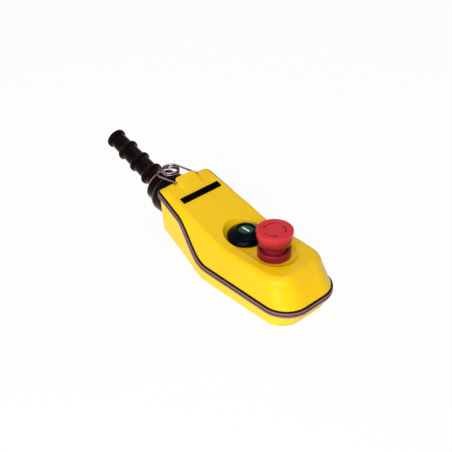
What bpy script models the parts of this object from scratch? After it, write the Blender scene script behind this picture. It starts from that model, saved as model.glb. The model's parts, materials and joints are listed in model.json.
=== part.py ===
"""Crane pendant control: two-shell yellow handset with a start button, a mushroom stop button,
a bent cable boot and a spring wire bail.

Metres, +Z up. The origin is the middle of the flat underside, +X runs to the nose, +Y to the left.
The button plane is level, and the handle rises behind it towards the cable end.
"""
import math

import bmesh
import bpy
import numpy as np
from mathutils import Matrix, Vector

MM = 0.001
GAP = 0.3 * MM
ROUND_SIDES = 28
BORE_SIDES = 24
BARREL_SIDES = 20
SMALL_SIDES = 16
SCREW_SIDES = 10

# Body: stations along X and heights along Z
NOSE_X = 80.6 * MM
CABLE_END_X = -131.0 * MM
NOSE_HALF_WIDTH = 43.0 * MM
CABLE_HALF_WIDTH = 36.2 * MM
WIDEST_X = -55.0 * MM
NOSE_CORNER = 29.0 * MM
CABLE_CORNER = 9.0 * MM
WALL = 3.0 * MM

PLATEAU_Z = 60.5 * MM
HANDLE_TOP_SLOPE = 0.29
TOP_KNEE_X = -26.0 * MM
TOP_KNEE_LENGTH = 24.0 * MM
UNDERSIDE_SLOPE = 0.42
UNDERSIDE_KNEE_X = -66.0 * MM
UNDERSIDE_KNEE_LENGTH = 24.0 * MM
SEAM_Z = 28.8 * MM
SEAM_UNDER_TOP = 4.5 * MM
SEAM_HANDLE_SLOPE = 0.36
SEAM_KNEE_X = -65.0 * MM
SEAM_KNEE_LENGTH = 48.0 * MM

TOP_INSET_SIDE = 4.0 * MM
TOP_INSET_NOSE = 18.5 * MM
TOP_INSET_CABLE = 7.5 * MM
TOP_NOSE_CORNER = 21.0 * MM
TOP_FILLET_FRONT = 5.5 * MM
TOP_FILLET_BACK = 2.6 * MM
BOTTOM_DRAFT = 0.075
BOTTOM_INSET_NOSE = 6.5 * MM
BOTTOM_FILLET_FRONT = 9.0 * MM
BOTTOM_FILLET_BACK = 8.0 * MM

# Seam gasket
GASKET_HEIGHT = 8.0 * MM
GASKET_PROUD = 2.5 * MM
GASKET_GROOVE = 1.0 * MM

# Buttons
STOP_X = 20.0 * MM
BUTTON_PITCH = 43.5 * MM
START_X = STOP_X - BUTTON_PITCH
POCKET_DEPTH = 3.5 * MM
POCKET_RADIUS = 22.0 * MM
POCKET_FLARE = 0.4
RECESS_REACH = 14.0 * MM
PANEL_HOLE_RADIUS = 11.25 * MM
FLANGE_RADIUS = 18.5 * MM
STOP_HEAD_RADIUS = 20.0 * MM
STOP_HEAD_FOOT_RADIUS = 15.0 * MM
STOP_NECK_RADIUS = 13.9 * MM
STOP_COLLAR_BORE = 14.6 * MM
STOP_COLLAR_HEIGHT = 9.3 * MM
COLLAR_EDGE = 0.8 * MM
CUP_FLOOR = 1.2 * MM
STOP_RIM_RISE = 31.2 * MM
STOP_FOOT_RISE = 14.0 * MM
STOP_CROWN_RISE = 1.5 * MM
STOP_HEAD_EDGE = 0.9 * MM
STOP_DISC_RADIUS = 15.6 * MM
STOP_DISC_DEPTH = 0.6 * MM
STOP_DIMPLE_RADIUS = 4.6 * MM
STOP_SOCKET_DEPTH = 8.0 * MM
STOP_FLANK_SHARES = ((1.0, 0.0), (1.0, 0.14), (0.98, 0.32), (0.94, 0.56), (0.885, 0.8), (0.83, 0.93))
STOP_TRAVEL = 4.0 * MM
START_GUARD_RISE = 11.8 * MM
START_GUARD_MOUTH = 9.0 * MM
START_SKIRT_RADIUS = 20.3 * MM
START_CAP_RISE = 10.9 * MM
GUARD_LIP = 1.8 * MM
GUARD_SKIRT = 4.4 * MM
GUARD_HOLLOW = 2.2 * MM
CAP_SOCKET_DEPTH = 3.0 * MM
START_TRAVEL = 4.0 * MM

# Operators under the panel
BARREL_RADIUS = 10.9 * MM
BARREL_BORE = 9.2 * MM
BARREL_LENGTH = 19.4 * MM
BARREL_FLOOR = 1.6 * MM
BARREL_RISE = 1.2 * MM
STEM_RADIUS = 4.6 * MM
STEM_SHOULDER_RADIUS = 8.4 * MM
STEM_FOOT_RADIUS = 8.6 * MM
STEM_FOOT_HEIGHT = 1.8 * MM
SHOULDER_DEPTH = 1.0 * MM
SHOULDER_HEIGHT = 1.5 * MM
NUT_ACROSS_FLATS = 28.0 * MM
NUT_HEIGHT = 4.6 * MM
ADAPTER_SIZE = 30.0 * MM
ADAPTER_WIDTH = 26.0 * MM
ADAPTER_HEIGHT = 9.4 * MM
ADAPTER_BORE = 9.6 * MM
BLOCK_LENGTH = 32.0 * MM
BLOCK_TOP_LENGTH = 19.0 * MM
BLOCK_WIDTH = 10.4 * MM
BLOCK_HEIGHT = 22.0 * MM
BLOCK_SHOULDER = 12.5 * MM
BLOCK_PITCH = 12.0 * MM
TERMINAL_BITE = 5.5 * MM
TERMINAL_HEAD_RADIUS = 2.9 * MM
PLUNGER_SIZE = 5.0 * MM
PLUNGER_LENGTH = 13.0 * MM
SPRING_RADIUS = 6.6 * MM
SPRING_WIRE = 0.55 * MM
SPRING_TURNS = 5

# Cable boot
INLET_Z = 55.3 * MM
INLET_RADIUS = 16.0 * MM
BOOT_TILT = math.radians(18.1)
BOOT_BEND_START = 12.0 * MM
BOOT_BEND_LENGTH = 20.0 * MM
BOOT_LENGTH = 128.0 * MM
BOOT_BORE = 6.8 * MM
BOOT_BASE_RADIUS = 25.2 * MM
BOOT_BASE_LENGTH = 28.0 * MM
BOOT_EDGE = 1.2 * MM
BOOT_BELL_END = 37.5 * MM
BOOT_FLARE_LENGTH = 10.5 * MM
BOOT_BELL_RADIUS = 21.1 * MM
BOOT_NECK_RADIUS = 11.4 * MM
BOOT_TIP_RADIUS = 9.6 * MM
BOOT_RING_RADII = (14.6 * MM, 13.7 * MM, 13.3 * MM, 12.2 * MM)
BOOT_BORE_START = 46.0 * MM
BOOT_HOLLOW_END = 34.0 * MM
BOOT_WALL = 3.5 * MM
BOOT_FIRST_RING = 57.2 * MM
BOOT_RING_WIDTH = 5.2 * MM
BOOT_LIP = 3.0 * MM
BOOT_SIDES = 18

# Tab and wire bail
TAB_HALF_WIDTH = 14.0 * MM
TAB_END_X = -125.6 * MM
TAB_LENGTH = 22.0 * MM
TAB_RISE = 3.6 * MM
TAB_CORNER = 3.0 * MM
BAIL_X = -121.0 * MM
BAIL_WIRE_RADIUS = 1.1 * MM
BAIL_LENGTH = 29.0 * MM
COIL_RADIUS = 9.8 * MM
COIL_TURNS = 2
BAIL_DROP = math.radians(2.0)
PIN_LENGTH = 7.0 * MM

# Label, closing screws and cable clamp
LABEL_X = -96.6 * MM
LABEL_WIDTH = 56.0 * MM
LABEL_HEIGHT = 8.4 * MM
LABEL_THICKNESS = 0.8 * MM
SCREW_PLACES = ((53.0 * MM, 21.0 * MM), (-2.0 * MM, 14.5 * MM), (-106.0 * MM, 15.0 * MM))
SCREW_BOSS_RADIUS = 4.6 * MM
SCREW_HEAD_RADIUS = 3.4 * MM
SCREW_HEAD_HEIGHT = 2.0 * MM
SCREW_SHANK_RADIUS = 1.7 * MM
SCREW_GRIP = 12.0 * MM
SCREW_BITE = 8.0 * MM
CLAMP_X = -96.0 * MM
CLAMP_HALF_SPAN = 13.0 * MM
CLAMP_Z = 48.8 * MM
CLAMP_THICKNESS = 2.5 * MM
CLAMP_LENGTH = 9.0 * MM
CABLE_RADIUS = 6.5 * MM

FLOOR_Z = PLATEAU_Z - POCKET_DEPTH
PANEL_Z = FLOOR_Z - WALL
BARREL_LOW = FLOOR_Z + BARREL_RISE - BARREL_LENGTH
BLOCK_TOP = BARREL_LOW - ADAPTER_HEIGHT - 2 * GAP
SHOULDER_HIGH = FLOOR_Z - SHOULDER_DEPTH
SHOULDER_LOW = SHOULDER_HIGH - SHOULDER_HEIGHT


def clear_scene():
    """Removes every object that the scene holds."""
    for item in list(bpy.data.objects):
        bpy.data.objects.remove(item)


def finish(name, colour, roughness, metallic=0.0):
    """A plain shader with the piece's colour, roughness and metal."""
    material = bpy.data.materials.new(name)
    material.use_nodes = True
    shader = material.node_tree.nodes["Principled BSDF"]
    shader.inputs["Base Color"].default_value = (*colour, 1.0)
    shader.inputs["Roughness"].default_value = roughness
    shader.inputs["Metallic"].default_value = metallic
    return material


# Heights of the body along X
def knee(x, start, slope, length):
    """Height that is zero ahead of a knee and rises behind it by slope, with a parabola between."""
    run = start + length / 2 - x
    blend = np.clip(run, 0.0, length)
    return slope * (blend ** 2 / (2 * length) + np.maximum(run - length, 0.0))


def top_z(x):
    """The top face: level round the buttons, rising along the handle."""
    return PLATEAU_Z + knee(x, TOP_KNEE_X, HANDLE_TOP_SLOPE, TOP_KNEE_LENGTH)


def underside_z(x):
    """The underside: flat under the buttons, rising along the handle."""
    return knee(x, UNDERSIDE_KNEE_X, UNDERSIDE_SLOPE, UNDERSIDE_KNEE_LENGTH)


def seam_z(x):
    """The gasket's upper edge: an S from low on the nose to just under the handle's top face."""
    handle = top_z(CABLE_END_X) - SEAM_UNDER_TOP - SEAM_HANDLE_SLOPE * (x - CABLE_END_X)
    t = np.clip((x - SEAM_KNEE_X) / SEAM_KNEE_LENGTH + 0.5, 0.0, 1.0)
    blend = t * t * (3 - 2 * t)
    return handle + (SEAM_Z - handle) * blend


def gasket_height(x):
    """The gasket's upright height, so that it stays equally thick where the seam is steep."""
    step = 1.0 * MM
    slope = (seam_z(x + step) - seam_z(x - step)) / (2 * step)
    return GASKET_HEIGHT * np.sqrt(1 + slope ** 2)


# Plan outlines
def outline(cable_x, nose_x, cable_half, nose_half, cable_corner, nose_corner):
    """Half a plan outline with +Y, from the cable end's corner to the nose's, as rows of x, y."""
    quarter = np.linspace(0, math.pi / 2, 5)
    back = np.column_stack([cable_x + cable_corner * (1 - np.cos(quarter)),
                            cable_half - cable_corner * (1 - np.sin(quarter))])
    stations = np.concatenate([np.linspace(0, 0.5, 4)[1:], np.linspace(0.5, 1.0, 9)[1:]])
    taper = np.column_stack([back[-1, 0] + (WIDEST_X - back[-1, 0]) * stations,
                             cable_half + (nose_half - cable_half) * stations])
    arc_start = nose_x - nose_corner
    knee_end = SEAM_KNEE_X + SEAM_KNEE_LENGTH / 2
    runs = np.concatenate([np.linspace(WIDEST_X, knee_end, 4)[1:], np.linspace(knee_end, arc_start, 4)[1:-1]])
    side = np.column_stack([runs, np.full(len(runs), nose_half)])
    quarter = np.linspace(0, math.pi / 2, 8)
    front = np.column_stack([arc_start + nose_corner * np.sin(quarter),
                             nose_half - nose_corner * (1 - np.cos(quarter))])
    return np.vstack([back, taper, side, front])


def inset(half, distance):
    """Moves a half outline inwards, square to itself; distance is one value or one for each point."""
    mirrored = half[::-1] * [1, -1]
    loop = np.vstack([half, mirrored])
    ahead = np.roll(loop, -1, axis=0) - loop
    behind = loop - np.roll(loop, 1, axis=0)
    ahead /= np.linalg.norm(ahead, axis=1)[:, None]
    behind /= np.linalg.norm(behind, axis=1)[:, None]
    along = ahead + behind
    along /= np.linalg.norm(along, axis=1)[:, None]
    normal = np.column_stack([-along[:, 1], along[:, 0]])[:len(half)]
    return half - normal * np.reshape(distance, (-1, 1))


def ring(half, z):
    """Closes a half outline with its mirror image and gives it heights."""
    points = np.column_stack([half, z])
    return np.vstack([points, points[::-1] * [1, -1, 1]])


RIM = outline(CABLE_END_X, NOSE_X, CABLE_HALF_WIDTH, NOSE_HALF_WIDTH, CABLE_CORNER, NOSE_CORNER)


# Mesh helpers
def add_object(name, vertices, faces, material, smooth_angle=40.0):
    """One named object from points and faces, with outward normals and sharp edges kept."""
    mesh = bpy.data.meshes.new(name)
    mesh.from_pydata([tuple(map(float, v)) for v in vertices], [], [tuple(map(int, f)) for f in faces])
    tidy = bmesh.new()
    tidy.from_mesh(mesh)
    bmesh.ops.remove_doubles(tidy, verts=tidy.verts, dist=1e-6)
    bmesh.ops.recalc_face_normals(tidy, faces=tidy.faces)
    tidy.to_mesh(mesh)
    tidy.free()
    mesh.shade_smooth()
    mesh.set_sharp_from_angle(angle=math.radians(smooth_angle))
    mesh.materials.append(material)
    item = bpy.data.objects.new(name, mesh)
    bpy.context.collection.objects.link(item)
    return item


def bridge(count, rings):
    """Quads between neighbouring rings of a stack."""
    faces = []
    for level in range(rings - 1):
        low, high = level * count, (level + 1) * count
        for i in range(count):
            j = (i + 1) % count
            faces.append((low + i, low + j, high + j, high + i))
    return faces


def ladder(start, count):
    """Closes a mirrored ring with quads across the width."""
    last = count - 1
    return [(start + i, start + i + 1, start + last - i - 1, start + last - i) for i in range(count // 2 - 1)]


def stack(name, rings, material):
    """A closed solid from rings, with quads across the width at both ends."""
    count = len(rings[0])
    faces = bridge(count, len(rings))
    faces += ladder(0, count) + ladder((len(rings) - 1) * count, count)
    return add_object(name, np.vstack(rings), faces, material)


def revolve(name, profile, material, centre=(0.0, 0.0), sides=ROUND_SIDES, closed=False):
    """Turns an (r, z) profile round an upright axis; a closed profile makes a ring."""
    profile = np.array(profile)
    angles = np.linspace(0, 2 * math.pi, sides, endpoint=False)
    rings = [np.column_stack([r * np.cos(angles), r * np.sin(angles), np.full(sides, z)]) for r, z in profile]
    if closed:
        rings.append(rings[0])
    faces = bridge(sides, len(rings))
    if not closed:
        last = (len(rings) - 1) * sides
        faces += [tuple(range(sides)), tuple(range(last, last + sides))]
    item = add_object(name, np.vstack(rings), faces, material)
    item.location = (centre[0], centre[1], 0.0)
    return item


def cylinder(radius, low, high, centre, sides=SMALL_SIDES):
    """An upright cutter or filler cylinder."""
    return revolve("tool", [(radius, high), (radius, low)], None, centre, sides)


def block(size, centre, tilt=0.0):
    """A box by size and centre, turned about Y by tilt."""
    half = np.array(size) / 2
    corners = [(sx, sy, sz) for sz in (-1, 1) for sx, sy in ((-1, -1), (1, -1), (1, 1), (-1, 1))]
    turn = Matrix.Rotation(tilt, 3, "Y")
    points = [turn @ Vector(half * corner) + Vector(centre) for corner in corners]
    return add_object("tool", points, bridge(4, 2) + [(0, 1, 2, 3), (4, 5, 6, 7)], None)


def post(centre, radius, low_z, high_z):
    """An upright filler whose ends follow two heights, each a function of x."""
    angles = np.linspace(0, 2 * math.pi, SMALL_SIDES, endpoint=False)
    x = centre[0] + radius * np.cos(angles)
    y = centre[1] + radius * np.sin(angles)
    rings = [np.column_stack([x, y, low_z(x)]), np.column_stack([x, y, high_z(x)])]
    ends = [tuple(range(SMALL_SIDES)), tuple(range(SMALL_SIDES, 2 * SMALL_SIDES))]
    return add_object("tool", np.vstack(rings), bridge(SMALL_SIDES, 2) + ends, None)


def level(z):
    """A height that is the same at every x."""
    return lambda x: np.full(len(x), z)


def under_top(x):
    """Halfway into the cover's skin."""
    return top_z(x) - WALL / 2


def over_underside(x):
    """Halfway into the base's skin."""
    return underside_z(x) + WALL / 2


def combine(item, tool, operation):
    """Applies one exact Boolean and removes the tool."""
    tool.hide_render = True
    tool.display_type = "WIRE"
    modifier = item.modifiers.new("combine", "BOOLEAN")
    modifier.operation = operation
    modifier.object = tool
    modifier.solver = "EXACT"
    graph = bpy.context.evaluated_depsgraph_get()
    result = bpy.data.meshes.new_from_object(item.evaluated_get(graph))
    item.modifiers.remove(modifier)
    result.name = item.data.name
    item.data = result
    bpy.data.objects.remove(tool)
    return item


def cut(item, tool):
    """Takes the tool's shape out of the item."""
    return combine(item, tool, "DIFFERENCE")


def join(item, tool):
    """Fuses the tool's shape with the item."""
    return combine(item, tool, "UNION")


def tube(name, path, radius, material, sides):
    """A round wire along a path of points, with flat ends; its frame turns as little as it can."""
    path = np.array(path)
    tangent = np.gradient(path, axis=0)
    tangent /= np.linalg.norm(tangent, axis=1)[:, None]
    side = np.cross(tangent[0], (0.0, 0.0, 1.0))
    if np.linalg.norm(side) < 0.1:
        side = np.cross(tangent[0], (0.0, 1.0, 0.0))
    angles = np.linspace(0, 2 * math.pi, sides, endpoint=False)
    rings = []
    for point, direction in zip(path, tangent):
        side = side - direction * np.dot(side, direction)
        side /= np.linalg.norm(side)
        other = np.cross(direction, side)
        rings.append(point + radius * (np.outer(np.cos(angles), side) + np.outer(np.sin(angles), other)))
    faces = bridge(sides, len(rings))
    last = (len(rings) - 1) * sides
    faces += [tuple(range(sides)), tuple(range(last, last + sides))]
    return add_object(name, np.vstack(rings), faces, material)


# Housing
def fillet_rings(wall_half, wall_z, radius, height, steps=3):
    """Rings that round a wall over into a face: an ellipse quarter, inwards and up or down."""
    rings = []
    for angle in np.linspace(0, math.pi / 2, steps + 1)[1:]:
        half = inset(wall_half, radius * (1 - math.cos(angle)))
        rings.append((half, wall_z + height * math.sin(angle)))
    return rings


def fillet_size(x, back, front):
    """A fillet's radius, growing from the cable end to the widest station."""
    return back + (front - back) * np.clip((x - CABLE_END_X) / (WIDEST_X - CABLE_END_X), 0.0, 1.0)


def upper_rings(depth):
    """The cover's rings from its rim to its top face; depth is how far inside the outer skin they lie."""
    shoulder = outline(CABLE_END_X + TOP_INSET_CABLE, NOSE_X - TOP_INSET_NOSE + TOP_FILLET_FRONT,
                       CABLE_HALF_WIDTH - TOP_INSET_SIDE / 2, NOSE_HALF_WIDTH - TOP_INSET_SIDE,
                       CABLE_CORNER, TOP_NOSE_CORNER)
    radius = fillet_size(shoulder[:, 0], TOP_FILLET_BACK, TOP_FILLET_FRONT)
    shoulder_z = top_z(shoulder[:, 0]) - radius
    rings = [ring(inset(RIM, depth), seam_z(RIM[:, 0]))]
    if depth > 0:
        face = inset(shoulder, radius + depth / 3)
        under = np.minimum(shoulder_z, top_z(shoulder[:, 0]) - depth - GAP)
        rings.append(ring(inset(shoulder, depth), under))
        rings.append(ring(face, top_z(face[:, 0]) - depth))
        return rings
    rings.append(ring(shoulder, shoulder_z))
    for half, z in fillet_rings(shoulder, shoulder_z, radius, radius):
        rings.append(ring(half, z))
    face = rings[-1]
    face[:, 2] = top_z(face[:, 0])
    return rings


def lower_rings(depth):
    """The base's rings from its rim to its underside; depth is how far inside the outer skin they lie."""
    rim_z = seam_z(RIM[:, 0]) - gasket_height(RIM[:, 0])
    foot = inset(RIM, BOTTOM_DRAFT * (rim_z - underside_z(RIM[:, 0])))
    nose = np.clip((RIM[:, 0] - WIDEST_X) / (NOSE_X - WIDEST_X), 0.0, 1.0) ** 3
    foot[:, 0] = RIM[:, 0] - nose * BOTTOM_INSET_NOSE
    radius = fillet_size(foot[:, 0], BOTTOM_FILLET_BACK, BOTTOM_FILLET_FRONT)
    if depth > 0:
        radius = radius - depth
        foot = inset(foot, depth)
    foot_z = underside_z(foot[:, 0]) + depth + radius
    rings = [ring(inset(RIM, depth), rim_z), ring(foot, foot_z)]
    steps = 2 if depth > 0 else 3
    for half, z in fillet_rings(foot, foot_z, radius, -radius, steps):
        rings.append(ring(half, z))
    face = rings[-1]
    face[:, 2] = underside_z(face[:, 0]) + depth
    return rings


def pocket_outline(radius, z, sides=12):
    """The obround round both buttons at one height, mirrored about the middle plane."""
    back = np.linspace(math.pi / 2, math.pi, sides)[::-1]
    front = np.linspace(0, math.pi / 2, sides)[::-1]
    points = [(START_X + radius * math.cos(a), radius * math.sin(a)) for a in back[1:]]
    points += [(STOP_X + radius * math.cos(a), radius * math.sin(a)) for a in front[:-1]]
    return ring(np.array(points), np.full(len(points), z))


def half_width(x):
    """Half the rim's width at a station between its corners."""
    return float(np.interp(x, [CABLE_END_X + CABLE_CORNER, WIDEST_X], [CABLE_HALF_WIDTH, NOSE_HALF_WIDTH]))


def screw_places():
    """Every closing screw's place, left and right: a station and a distance in from the rim's side."""
    return [(x, side * (half_width(x) - inward)) for x, inward in SCREW_PLACES for side in (1, -1)]


def joint_z(x):
    """The height where the two shells' screw bosses meet, halfway up the gasket."""
    return float(seam_z(x) - gasket_height(x) / 2)


def bail_z():
    """The wire's pivot height: just clear of the shoulder beside the tab."""
    return float(top_z(BAIL_X)) + BAIL_WIRE_RADIUS + GAP


def tab_solid(material):
    """The tab over the cable end: a ramp that leaves the top face and ends in rounded corners."""
    root_x = TAB_END_X + TAB_LENGTH
    corner = TAB_CORNER
    quarter = np.linspace(0, math.pi / 2, 5)
    plan = np.column_stack([TAB_END_X + corner * (1 - np.cos(quarter)),
                            TAB_HALF_WIDTH - corner * (1 - np.sin(quarter))])
    plan = np.vstack([plan, [(root_x, TAB_HALF_WIDTH)]])
    sunk = GAP
    lift = (TAB_RISE + sunk) * (root_x - plan[:, 0]) / TAB_LENGTH - sunk
    low = ring(plan, top_z(plan[:, 0]) - WALL / 2)
    high = ring(plan, top_z(plan[:, 0]) + lift)
    edge = inset(plan, 2 * GAP)
    edge[-1, 0] = root_x
    crown = ring(edge, top_z(edge[:, 0]) + lift + sunk / 2)
    return stack("tool", [low, high, crown], material)


def upper_shell(material):
    """The cover: shell, pocket pad and recess, tab, screw posts and the two panel holes."""
    outer = upper_rings(0.0)
    inner = upper_rings(WALL)
    item = stack("upper_shell", outer[::-1] + inner, material)
    recess = RECESS_REACH
    pad_low = pocket_outline(POCKET_RADIUS + WALL, PANEL_Z)
    pad_high = pocket_outline(POCKET_RADIUS + WALL + POCKET_FLARE * recess / 2, PLATEAU_Z)
    pad_high[:, 2] = top_z(pad_high[:, 0]) - WALL / 2
    join(item, stack("tool", [pad_low, pad_high], material))
    mouth = pocket_outline(POCKET_RADIUS + POCKET_FLARE * recess, FLOOR_Z + recess)
    cut(item, stack("tool", [pocket_outline(POCKET_RADIUS, FLOOR_Z), mouth], material))
    for x in (START_X, STOP_X):
        cut(item, cylinder(PANEL_HOLE_RADIUS, PANEL_Z - WALL, FLOOR_Z + WALL, (x, 0.0), ROUND_SIDES))
    join(item, tab_solid(material))
    for side in (1, -1):
        width = 2 * BAIL_WIRE_RADIUS + 4 * GAP
        middle = side * (TAB_HALF_WIDTH + width / 2 + GAP / 3)
        front = BAIL_X + BAIL_WIRE_RADIUS + 6 * GAP
        low = bail_z() - BAIL_WIRE_RADIUS - 3 * GAP
        length = front - CABLE_END_X
        cut(item, block((length, width, WALL), (front - length / 2, middle, low + WALL / 2)))
    pin_length = 2 * (TAB_HALF_WIDTH + MM)
    bore = tube("tool", [(BAIL_X, -pin_length / 2, bail_z()), (BAIL_X, pin_length / 2, bail_z())],
                BAIL_WIRE_RADIUS + GAP, material, 12)
    cut(item, bore)
    for x, y in screw_places():
        low = joint_z(x) + GAP / 2
        join(item, post((x, y), SCREW_BOSS_RADIUS, level(low), under_top))
        cut(item, cylinder(SCREW_SHANK_RADIUS + GAP, low - MM, low + SCREW_BITE + MM, (x, y), 12))
    return item


def lower_shell(material):
    """The base: deep shell, cable inlet in its end wall, screw tubes from below and clamp pillars."""
    outer = lower_rings(0.0)
    inner = lower_rings(WALL)
    item = stack("lower_shell", outer[::-1] + inner, material)
    for x, y in screw_places():
        high = joint_z(x) - GAP / 2
        low = float(underside_z(x))
        join(item, post((x, y), SCREW_BOSS_RADIUS + MM, over_underside, level(high)))
        cut(item, cylinder(SCREW_SHANK_RADIUS + 2 * GAP, low, high + MM, (x, y), 12))
        below = low - 4 * SCREW_BOSS_RADIUS
        cut(item, cylinder(SCREW_HEAD_RADIUS + 2 * GAP, below, high - SCREW_GRIP, (x, y)))
    for side in (1, -1):
        place = (CLAMP_X, side * CLAMP_HALF_SPAN)
        join(item, post(place, SCREW_BOSS_RADIUS, over_underside, level(CLAMP_Z)))
        cut(item, cylinder(SCREW_SHANK_RADIUS + GAP, CLAMP_Z - SCREW_BITE - MM, CLAMP_Z + MM, place, 12))
    reach = 4 * WALL
    cut(item, tube("tool", [(CABLE_END_X - reach, 0.0, INLET_Z), (CABLE_END_X + reach, 0.0, INLET_Z)],
                   INLET_RADIUS, material, ROUND_SIDES))
    return item


def seam_gasket(material):
    """A rubber ring with two ribs and a groove, swept round the rim between the shells."""
    across = np.linspace(-1, 1, 7)
    rib = np.sqrt(np.clip(1 - (2 * np.abs(across) - 1) ** 2, 0.0, 1.0))
    outward = GASKET_GROOVE + (GASKET_PROUD - GASKET_GROOVE) * rib
    section = [(0.0, -1.0)] + list(zip(outward, across)) + [(0.0, 1.0), (-WALL, 1.0), (-WALL, -1.0)]
    height = gasket_height(RIM[:, 0])
    middle = seam_z(RIM[:, 0]) - height / 2
    rings = [ring(inset(RIM, -out), middle + up * (height / 2 - GAP)) for out, up in section]
    rings.append(rings[0])
    count = len(rings[0])
    return add_object("seam_gasket", np.vstack(rings), bridge(count, len(rings)), material)


# Cable boot
def boot_spine(s):
    """The boot's axis: level at the wall, then bent up by the tilt. Gives point and heading."""
    turned = np.clip((s - BOOT_BEND_START) / BOOT_BEND_LENGTH, 0.0, 1.0) * BOOT_TILT
    radius = BOOT_BEND_LENGTH / BOOT_TILT
    straight = min(s, BOOT_BEND_START)
    rest = max(s - BOOT_BEND_START - BOOT_BEND_LENGTH, 0.0)
    x = CABLE_END_X - straight - radius * math.sin(turned) - rest * math.cos(turned)
    z = INLET_Z + radius * (1 - math.cos(turned)) + rest * math.sin(turned)
    return x, z, turned


def boot_ring(s, radius):
    """A circle square to the boot's axis."""
    x, z, turned = boot_spine(s)
    angles = np.linspace(0, 2 * math.pi, BOOT_SIDES, endpoint=False)
    up = radius * np.sin(angles)
    return np.column_stack([x + up * math.sin(turned), radius * np.cos(angles), z + up * math.cos(turned)])


def boot_tube_radius(s):
    """The boot's plain tube, tapering from its neck to its tip."""
    share = np.clip((s - BOOT_FIRST_RING) / (BOOT_LENGTH - BOOT_FIRST_RING), 0, 1)
    return BOOT_NECK_RADIUS + (BOOT_TIP_RADIUS - BOOT_NECK_RADIUS) * share


def boot_profile():
    """Rows of distance along the axis and outer radius, from inside the wall to the tip."""
    hole = INLET_RADIUS - GAP
    lip = INLET_RADIUS + BOOT_LIP
    base = BOOT_BASE_RADIUS
    bell = BOOT_BELL_RADIUS
    stand_off = GASKET_PROUD + 3 * GAP
    seat = lip + BOOT_EDGE
    end = BOOT_BASE_LENGTH
    rows = [(-WALL - BOOT_LIP, lip), (-WALL - GAP, lip), (-WALL - GAP, hole), (GAP, hole), (GAP, seat)]
    rows += [(stand_off, seat), (stand_off + BOOT_EDGE / 2, base - BOOT_EDGE)]
    rows += [(stand_off + 2 * BOOT_EDGE, base)]
    rows += [(end - 5 * BOOT_EDGE, base), (end - 2 * BOOT_EDGE, base - BOOT_EDGE / 2)]
    rows += [(end, (base + bell) / 2), (end + BOOT_EDGE, bell - BOOT_EDGE / 2), (end + 2 * BOOT_EDGE, bell)]
    for angle in np.linspace(0, math.pi, 6)[1:]:
        share = (1 + math.cos(angle)) / 2
        rows.append((BOOT_BELL_END + BOOT_FLARE_LENGTH * angle / math.pi,
                     BOOT_NECK_RADIUS + (bell - BOOT_NECK_RADIUS) * share))
    pitch = (BOOT_LENGTH - BOOT_RING_WIDTH / 2 - BOOT_FIRST_RING) / (len(BOOT_RING_RADII) - 1)
    for index, ring_radius in enumerate(BOOT_RING_RADII):
        middle = BOOT_FIRST_RING + index * pitch
        foot = float(boot_tube_radius(middle))
        for angle in np.linspace(0, math.pi, 5):
            offset = -math.cos(angle) * BOOT_RING_WIDTH / 2
            bulge = math.sqrt(max(math.sin(angle), 0.0))
            rows.append((middle + offset, foot + (ring_radius - foot) * bulge))
    return rows[:-1] + [(BOOT_LENGTH, BOOT_RING_RADII[-1] - BOOT_EDGE)]


def cable_boot(material):
    """The rubber boot: wall groove, base cup, bell, stepped rings and an open bore."""
    hollow = INLET_RADIUS - BOOT_WALL
    middle = (BOOT_BORE_START + BOOT_LENGTH) / 2
    bore = [(BOOT_LENGTH, BOOT_BORE), (middle, BOOT_BORE), (BOOT_BORE_START, BOOT_BORE)]
    bore += [(BOOT_HOLLOW_END, hollow), (BOOT_BEND_START + BOOT_BEND_LENGTH / 2, hollow)]
    bore += [(BOOT_BEND_START, hollow), (-WALL - BOOT_LIP, hollow)]
    rings = [boot_ring(s, r) for s, r in boot_profile() + bore]
    rings.append(rings[0])
    return add_object("cable_boot", np.vstack(rings), bridge(BOOT_SIDES, len(rings)), material)


# Wire bail
def bail_path():
    """The wire from one pivot to the other, level, before its drop.

    One leg runs straight back and winds inwards round the coil's centre, the coil turns and
    rises by a wire at each turn, and the other leg leaves it on a tangent to its pivot.
    """
    leg_y = TAB_HALF_WIDTH + BAIL_WIRE_RADIUS + 2 * GAP
    pin_bend = leg_y - TAB_HALF_WIDTH
    pitch = 2 * BAIL_WIRE_RADIUS + GAP
    half_rise = COIL_TURNS * pitch / 2
    quarter = np.linspace(0, math.pi / 2, 4)
    pin = [(0.0, -leg_y + PIN_LENGTH, 0.0)]
    pin += [(-pin_bend * (1 - math.cos(a)), -leg_y + pin_bend * (1 - math.sin(a)), 0.0) for a in quarter]
    t = np.linspace(0, 1, 12)
    winding = leg_y + (COIL_RADIUS - leg_y) * t * t * (3 - 2 * t)
    angle = -math.pi / 2 - math.pi * t
    spiral = np.column_stack([winding * np.cos(angle), winding * np.sin(angle), 0 * t - half_rise])
    run = BAIL_LENGTH - pin_bend
    leave = math.atan2(leg_y, run) + math.acos(COIL_RADIUS / math.hypot(run, leg_y))
    start = math.pi / 2
    end = leave - 2 * math.pi * COIL_TURNS
    angle = np.linspace(start, end, 15 * COIL_TURNS + 1)[1:]
    rise = -half_rise + 2 * half_rise * (start - angle) / (start - end)
    coil = np.column_stack([COIL_RADIUS * np.cos(angle), COIL_RADIUS * np.sin(angle), rise])
    other = [(x, -y, z) for x, y, z in pin[::-1]]
    return np.vstack([pin, spiral - [BAIL_LENGTH, 0, 0], coil - [BAIL_LENGTH, 0, 0], other])


def suspension_bail(material):
    """The spring wire bail, dropped a little from level about its pivots."""
    path = bail_path()
    turned = np.array([Matrix.Rotation(-BAIL_DROP, 3, "Y") @ Vector(p) for p in path])
    item = tube("suspension_bail", turned, BAIL_WIRE_RADIUS, material, 6)
    item.location = (BAIL_X, 0.0, bail_z())
    return item


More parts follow.
